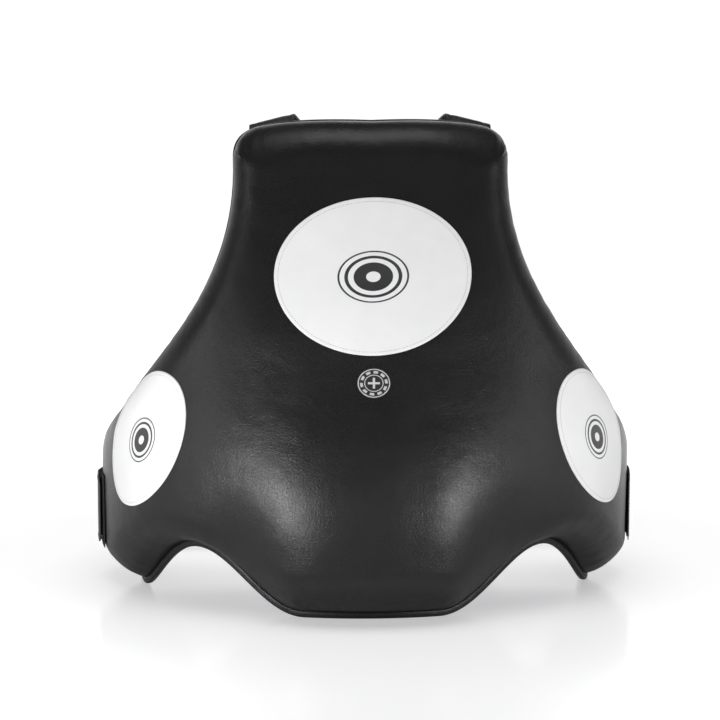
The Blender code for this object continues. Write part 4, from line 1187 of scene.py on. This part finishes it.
# %% Belt
BELT_WIDTH, BELT_Z, BELT_SWEEP = 0.085, 0.090, 0.180
BELT_START, BELT_FOLD, BELT_TURN = WING_REACH - 0.070, WING_REACH - 0.014, WING_REACH - 0.040
ELASTIC_LENGTH, ELASTIC_T, ELASTIC_WIDTH = 0.150, 0.0020, 0.078
TAB_FOLD, TAB_TIP, LOOP_PANEL_FRONT = WING_REACH - 0.012, WING_REACH - 0.070, WING_REACH - 0.076
TAB_LIFT = 2 * (TOUCH_T + SEWN_GAP)
FAR_ROUND = 2 * ROUND
BELT_LANES, BELT_HEM = 4, 0.006
LANE_WIDTH = (BELT_WIDTH - 2 * BELT_HEM) / BELT_LANES


def wing_face(along):
    """Height that clears a wing's leather, and comes in from its rear edge to the back."""
    length = side_of(along)[1]
    come_in = 1 - (1 - np.clip((length - BELT_TURN) / BELT_SWEEP, 0.0, 1.0)) ** 1.5
    return CHEST_THICKNESS + SOFT_GAP + (BELT_BACK_OUT - CHEST_THICKNESS - SOFT_GAP) * come_in


def belt_out(along):
    """Height of the belt's body side, which stands on the hook and loop tape on the left."""
    sign, length = side_of(along)
    lifted = TAB_LIFT * (1 - smooth((length - TAB_FOLD - 0.02) / 0.08))
    return wing_face(along) + np.where(sign < 0, lifted, 0.0)


def belt_band(name, start, end, height_at, *rest, **options):
    place, total = torso_strip(start, end, lambda along: BELT_Z, height_at)
    return band(name, place, (0.0, total), *rest, **options), place, total


def elastic_face(base, ribs=32, rib=0.00028):
    """Corrugated faces: one small rib every couple of millimetres across the width."""
    return lambda at, offset: base + rib * np.cos(offset / ELASTIC_WIDTH * ribs * 2 * math.pi)


elastic_end = BELT_FOLD + HINGE_CLEAR / 2 + ELASTIC_LENGTH
elastic, _, _ = belt_band(
    "belt_elastic_band", BELT_START + 0.004, elastic_end, belt_out, ELASTIC_WIDTH / 2,
    elastic_face(0.0016), elastic_face(0.0004), ELASTIC, step=0.004, across=221, crisp=40.0)
anchor, anchor_place, _ = belt_band(
    "belt_anchor_patch", BELT_START, BELT_FOLD - HINGE_CLEAR / 2, wing_face, BELT_WIDTH / 2,
    level(0.0034), level(0.0019), STRAP_LEATHER, step=0.003)
panel_span = (elastic_end - 0.022, FAR_ROUND - TAB_FOLD - HINGE_CLEAR / 2)
LINING_FOOT = ELASTIC_T + SEWN_GAP
PANEL_TOP = LINING_FOOT + 2 * (STRAP_COVER_T + SEWN_GAP) + BELT_PAD_T


def lane_depth(offset):
    """0 on a sewn channel, 1 in the middle of a lane."""
    phase = np.clip((offset + BELT_WIDTH / 2 - BELT_HEM) / LANE_WIDTH, 0.0, BELT_LANES)
    return np.abs(np.sin(math.pi * phase)) ** 0.55


def panel_top(at, offset):
    ends = smooth(np.minimum(at, panel_total - at) / 0.016)
    ripple = 0.0004 * wander(at, offset, 45.0, 6.0)
    return LINING_FOOT + 0.0030 + ends * ((PANEL_TOP - LINING_FOOT - 0.0030) * lane_depth(offset) + ripple)


panel_total = abs(panel_span[1] - panel_span[0])
belt_panel, panel_place, panel_total = belt_band(
    "belt_back_panel", *panel_span, belt_out, BELT_WIDTH / 2, panel_top, level(LINING_FOOT + STRAP_COVER_T),
    STRAP_LEATHER, step=0.004, across=81, crisp=16.0)
belt_backing, _, _ = belt_band(
    "belt_backing", *panel_span, belt_out, BELT_WIDTH / 2 - 0.0005, level(LINING_FOOT + STRAP_COVER_T * 0.95),
    lambda at, offset: LINING_FOOT - 0.0006 * lane_depth(offset), LINING_CLOTH, step=0.006, across=61,
    crisp=16.0)
loop_panel, loop_place, loop_total = belt_band(
    "wing_loop_panel", FAR_ROUND - TAB_FOLD + 0.004, FAR_ROUND - LOOP_PANEL_FRONT, wing_face,
    BELT_WIDTH / 2 + 0.002, lambda at, offset: TOUCH_T + 0.0003 * wander(at, offset, 900.0, 1.0), level(0.0),
    LOOP_TAPE, step=0.0016, across=51, crisp=24.0)
tab_span = (panel_span[1] - 0.012, FAR_ROUND - TAB_TIP)


def tab_half_width(at):
    """The belt's tab is a little narrower towards its rounded end."""
    rounding = np.clip(1 - (abs(tab_span[1] - tab_span[0]) - at) / TAIL_ROUND, 0, 1)
    return BELT_WIDTH / 2 * np.sqrt(1 - 0.35 * rounding ** 2) - 0.0006


def tab_face(height, rise):
    """Heights of a face of the tab, which starts higher by rise under the padded panel's end."""
    return lambda at, offset: height + rise * (1 - smooth(at / 0.02))


belt_tab, tab_place, tab_total = belt_band(
    "belt_closing_tab", *tab_span, belt_out, tab_half_width, tab_face(BELT_T, 0.0012), tab_face(0.0, 0.0018),
    STRAP_LEATHER, step=0.003, across=31)
tab_hook, _, _ = belt_band(
    "belt_tab_grip", FAR_ROUND - TAB_FOLD + HINGE_CLEAR / 2 + TOUCH_EDGE,
    FAR_ROUND - TAB_TIP - TOUCH_EDGE * 2, belt_out, BELT_WIDTH / 2 - TOUCH_EDGE,
    level(-0.0001), level(-SEWN_GAP - TOUCH_T), HOOK_TAPE, crisp=24.0)
print("belt panel:", round(panel_total, 3), "m")

# %% [markdown]
# ## Stitches
# Thousands of stitches follow the seams, so Geometry Nodes lay them: each row is a line of points that
# becomes a curve, is measured off at the stitch pitch, and carries one short bead of thread at each
# mark, turned along the row. The beads have few faces, because there are so many.

# %% A row of stitches as a node tree
def add_node(tree, kind, inputs=None, settings=None):
    node = tree.nodes.new(kind)
    for name, value in (settings or {}).items():
        setattr(node, name, value)
    for name, value in (inputs or {}).items():
        if isinstance(value, bpy.types.NodeSocket):
            tree.links.new(value, node.inputs[name])
        else:
            node.inputs[name].default_value = value
    return node


PITCH, BEAD_LENGTH, THREAD_RADIUS, SEED = 0.0042, 0.0031, 0.00042, 7


def stitch_tree():
    """Rows in, one bead of thread at every pitch out."""
    tree = bpy.data.node_groups.new("sewn_rows", "GeometryNodeTree")
    face = tree.interface
    face.new_socket("Rows", in_out="INPUT", socket_type="NodeSocketGeometry")
    for name, kind in (("Pitch", "Float"), ("Bead Length", "Float"), ("Thread Radius", "Float"),
                       ("Seed", "Int"), ("Thread", "Material")):
        face.new_socket(name, in_out="INPUT", socket_type="NodeSocket" + kind)
    face.new_socket("Geometry", in_out="OUTPUT", socket_type="NodeSocketGeometry")
    start = add_node(tree, "NodeGroupInput").outputs
    curve = add_node(tree, "GeometryNodeMeshToCurve", {"Mesh": start["Rows"]})
    marks = add_node(tree, "GeometryNodeResampleCurve", {"Curve": curve.outputs[0], "Length": start["Pitch"]},
                     {"mode": "LENGTH"})
    bead = add_node(tree, "GeometryNodeMeshUVSphere", {"Segments": 6, "Rings": 4, "Radius": 1.0})
    half = add_node(tree, "ShaderNodeMath", {0: start["Bead Length"], 1: 0.5}, {"operation": "MULTIPLY"})
    size = add_node(tree, "ShaderNodeCombineXYZ", {"X": start["Thread Radius"], "Y": start["Thread Radius"],
                                                   "Z": half.outputs[0]})
    shaped = add_node(tree, "GeometryNodeTransform",
                      {"Geometry": bead.outputs["Mesh"], "Scale": size.outputs[0]})
    tangent = add_node(tree, "GeometryNodeInputTangent")
    turn = add_node(tree, "FunctionNodeAlignRotationToVector", {"Vector": tangent.outputs[0]}, {"axis": "Z"})
    vary = add_node(tree, "FunctionNodeRandomValue", {2: 0.88, 3: 1.1, "Seed": start["Seed"]},
                    {"data_type": "FLOAT"})
    laid = add_node(tree, "GeometryNodeInstanceOnPoints", {
        "Points": marks.outputs[0], "Instance": shaped.outputs[0], "Rotation": turn.outputs[0],
        "Scale": vary.outputs[1]})
    real = add_node(tree, "GeometryNodeRealizeInstances", {0: laid.outputs[0]})
    smooth_shade = add_node(tree, "GeometryNodeSetShadeSmooth", {0: real.outputs[0]})
    dyed = add_node(tree, "GeometryNodeSetMaterial",
                    {0: smooth_shade.outputs[0], "Material": start["Thread"]})
    end = add_node(tree, "NodeGroupOutput")
    tree.links.new(dyed.outputs[0], end.inputs[0])
    return tree


SEWN_ROWS = stitch_tree()


def sew(name, rows, thread, pitch=PITCH, bead=BEAD_LENGTH, radius=THREAD_RADIUS):
    """One plain mesh of stitches along rows of points."""
    points, edges = [], []
    for row in rows:
        first = len(points)
        points += [tuple(p) for p in row]
        edges += [(i, i + 1) for i in range(first, len(points) - 1)]
    mesh = bpy.data.meshes.new(name + "_rows")
    mesh.from_pydata(points, edges, [])
    guide = bpy.data.objects.new(name + "_rows", mesh)
    bpy.context.scene.collection.objects.link(guide)
    rule = guide.modifiers.new("stitches", "NODES")
    rule.node_group = SEWN_ROWS
    sockets = {item.name: item.identifier for item in SEWN_ROWS.interface.items_tree
               if item.in_out == "INPUT"}
    for label, value in (("Pitch", pitch), ("Bead Length", bead), ("Thread Radius", radius), ("Seed", SEED),
                         ("Thread", thread)):
        rule[sockets[label]] = value
    graph = bpy.context.evaluated_depsgraph_get()
    made = bpy.data.meshes.new_from_object(guide.evaluated_get(graph))
    made.name = name
    bpy.data.objects.remove(guide)
    piece = bpy.data.objects.new(name, made)
    bpy.context.scene.collection.objects.link(piece)
    print(name, "-", len(made.polygons), "faces")
    return piece


# %% [markdown]
# ## Where the stitches run
# One row runs round the binding on each face. Crossed boxes hold what carries a load, and plain rows
# follow the hems, the belt's channels and the ovals. Each row is laid on the band or leather it sews.

# %% Rows on the pad
def flange_row(inset, height, wobble=0.00015):
    """A sewn row round the whole pad."""
    cut = whole_ring(inset)
    walk = lengths_along(cut)
    points = torso_point(*cut.T, height + wobble * wander(walk, 0.0 * walk, 60.0, 15.0))
    return np.vstack([points, points[:1]])


BINDING_SEAM = 0.0052
pad_rows = [flange_row(BINDING_SEAM, TAPE_OVER + BINDING_T + THREAD_LIFT),
            flange_row(BINDING_SEAM, TAPE_UNDER - BINDING_T - THREAD_LIFT)]
for side, word in SIDES:
    pad_rows += tab_rows[word] + strap_rows[word + "_sewn_end"]
ANCHOR_HEIGHT, PANEL_HEIGHT = 0.0035, TOUCH_T + 0.0002
pad_rows += box_rows(anchor_place, (0.005, 0.040), BELT_WIDTH / 2 - 0.005, ANCHOR_HEIGHT, True)
pad_rows += box_rows(loop_place, (0.003, loop_total - 0.003), BELT_WIDTH / 2 - 0.001, PANEL_HEIGHT)
belt_rows = [sewn_run(panel_place, (0.006, panel_total - 0.006), (i - BELT_LANES / 2) * LANE_WIDTH,
                      lambda at, offset: panel_top(at, offset) + THREAD_LIFT, 200)
             for i in range(BELT_LANES + 1)]
tab_hem = box_rows(tab_place, (0.020, tab_total - 0.009), BELT_WIDTH / 2 - 0.0065, BELT_T + THREAD_LIFT)
stitches = {
    "pad_stitches": sew("pad_stitches", pad_rows, BLACK_THREAD),
    "oval_stitches": sew("oval_stitches", oval_rows, GREY_THREAD, 0.0030, 0.0023, 0.00026),
    "keeper_stitches": sew("keeper_stitches", keeper_rows, BLACK_THREAD),
    "belt_stitches": sew("belt_stitches", belt_rows, BLACK_THREAD),
    "belt_tab_stitches": sew("belt_tab_stitches", tab_hem, BLACK_THREAD)}
for side, word in SIDES:
    stitches[word + "_strap"] = sew(word + "_strap_stitches", strap_rows[word], BLACK_THREAD)
    stitches[word + "_tail"] = sew(word + "_tail_stitches", tail_rows[word], BLACK_THREAD)

# %% [markdown]
# ## Studio floor
# A pale floor with a soft sheen gives the faint mirror image below the pad. It glows white towards its
# rim, where it joins the white room. Near the pad it glows less, and casts less light than it shows, so
# that the leather above it stays dark.

# %% Floor
GLOW_CAST, GLOW_SEEN, GLOW_FROM, GLOW_TO = 0.08, 0.42, 0.50, 1.30
FLOOR_RADIUS, FLOOR_Z = 2.2, -0.0004


def floor_finish():
    """Pale and glossy near the pad, and glowing white towards its rim, to join the white room."""
    made = Finish("studio_floor")
    seen = made.add("LightPath")
    place = made.add("TexCoord", output=3)
    haze = made.add("TexNoise", {"Vector": place, "Scale": 3.0, "Detail": 2.0})
    away = made.add("VectorMath", {"Vector": place}, {"operation": "LENGTH"}, output=1)
    glow = made.add("MapRange", {"Value": away, "From Min": GLOW_FROM, "From Max": GLOW_TO},
                    {"interpolation_type": "SMOOTHSTEP"})
    near = made.mix(seen, grey(GLOW_CAST), grey(GLOW_SEEN))
    return made.set(Base_Color=made.mix(haze, (0.93, 0.93, 0.93, 1), (0.95, 0.95, 0.95, 1)),
                    Roughness=0.14 + haze * 0.04, Specular_IOR_Level=0.5, Emission_Strength=1.0,
                    Emission_Color=made.mix(glow, near, grey(1.0)))


floor_mesh = bpy.data.meshes.new("studio_floor")
rim_points = [(FLOOR_RADIUS * math.cos(a), FLOOR_RADIUS * math.sin(a), FLOOR_Z)
              for a in np.linspace(0.0, 2 * math.pi, 96, endpoint=False)]
floor_mesh.from_pydata(rim_points, [], [tuple(range(len(rim_points)))])
floor_mesh.materials.append(floor_finish())
floor = bpy.data.objects.new("studio_floor", floor_mesh)
bpy.context.scene.collection.objects.link(floor)
floor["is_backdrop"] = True
print("floor:", floor.name)

# %% [markdown]
# ## Joining the pieces to the moving solids
# Each piece rides on one body of the fixed model. A piece that crosses a joint stays where it was made
# and rides on no body. The solids that a piece stands for are hidden.

# %% Rides and replacements
def belongs(piece, body, slot_name=None, nodes=(), fill=None):
    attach(piece, body)
    finish_piece(piece, slot_name, nodes, fill)


def bends(piece, body_a, body_b, start, end, slot_name=None, nodes=(), fill=None):
    tuple(start)
    tuple(end)
    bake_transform(piece)
    finish_piece(piece, slot_name, nodes, fill)


def finish_piece(piece, slot_name, nodes, fill):
    if nodes:
        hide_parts(*nodes)


belongs(pad_cover, "pad", "black_leather", ["front_cover", "inner_foam", "outer_foam"], 0.9)
belongs(lining, "pad", "black_lining", ["lining"])
belongs(edge_binding, "pad", "black_binding", ["edge_binding"])
for piece, name in zip(ovals, OVALS):
    belongs(piece, "pad", "white_leather", [name])
belongs(roundel, "pad", "black_leather")
for word in ("pad_stitches", "oval_stitches"):
    belongs(stitches[word], "pad")
fold_start, fold_end = (0.0, FOLD_Y - 0.0040, FOLD_Z), (0.0, FOLD_Y + 0.0140, FOLD_Z)
for side, word in SIDES:
    bends(straps[word], "pad", "harness", fold_start, fold_end, "black_leather",
          [word + "_strap_anchor", word + "_strap_cover", word + "_strap_foam"], 0.5)
    bends(strap_linings[word], "pad", "harness", fold_start, fold_end, "black_lining",
          [word + "_strap_lining"])
    bends(stitches[word + "_strap"], "pad", "harness", fold_start, fold_end)
    far = -side
    peel_start = torso_point(far * (TAIL_START - 0.001), tab_height(TAIL_START - 0.001), TAIL_OUT)
    peel_end = torso_point(far * (TAIL_START - 0.014), tab_height(TAIL_START - 0.014), TAIL_OUT)
    bends(tails[word], "harness", word + "_tail", peel_start, peel_end, "black_leather", [word + "_tail"])
    bends(stitches[word + "_tail"], "harness", word + "_tail", peel_start, peel_end)
    belongs(tail_hooks[word], word + "_tail", "hook_tape", [word + "_tail_hook"])
    belongs(wing_tabs[word], "pad", "black_leather", [word + "_wing_tab"])
    belongs(tab_loops[word], "pad", "loop_tape", [word + "_tab_loop"])
for word in keepers:
    belongs(keepers[word], "harness", "black_leather", ["keeper_" + word])
belongs(stitches["keeper_stitches"], "harness")
swing = [torso_point(BELT_FOLD + shift, BELT_Z, wing_face(BELT_FOLD)) for shift in (-0.003, 0.010)]
bends(elastic, "pad", "belt", *swing, "black_elastic", ["belt_elastic"])
belongs(anchor, "pad", "black_leather", ["belt_anchor"])
belongs(belt_panel, "belt", "black_leather", ["belt_cover", "belt_foam"], 0.6)
belongs(belt_backing, "belt", "black_lining", ["belt_lining"])
belongs(stitches["belt_stitches"], "belt")
belongs(loop_panel, "pad", "loop_tape", ["side_loop_panel"])
peel = [torso_point(FAR_ROUND - TAB_FOLD + shift, BELT_Z, belt_out(FAR_ROUND - TAB_FOLD))
        for shift in (-0.006, 0.008)]
bends(belt_tab, "belt", "belt_tab", *peel, "black_leather", ["belt_tab"])
belongs(tab_hook, "belt_tab", "hook_tape", ["belt_tab_hook"])
belongs(stitches["belt_tab_stitches"], "belt_tab")

# %% Sizes
SEEN_BOX = [list(corner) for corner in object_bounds()]
for axis, low, high, seen_low, seen_high in zip("xyz", *CAD_BOX, *SEEN_BOX):
    print(axis, "solids", round(low, 4), round(high, 4), "seen", round(seen_low, 4), round(seen_high, 4))
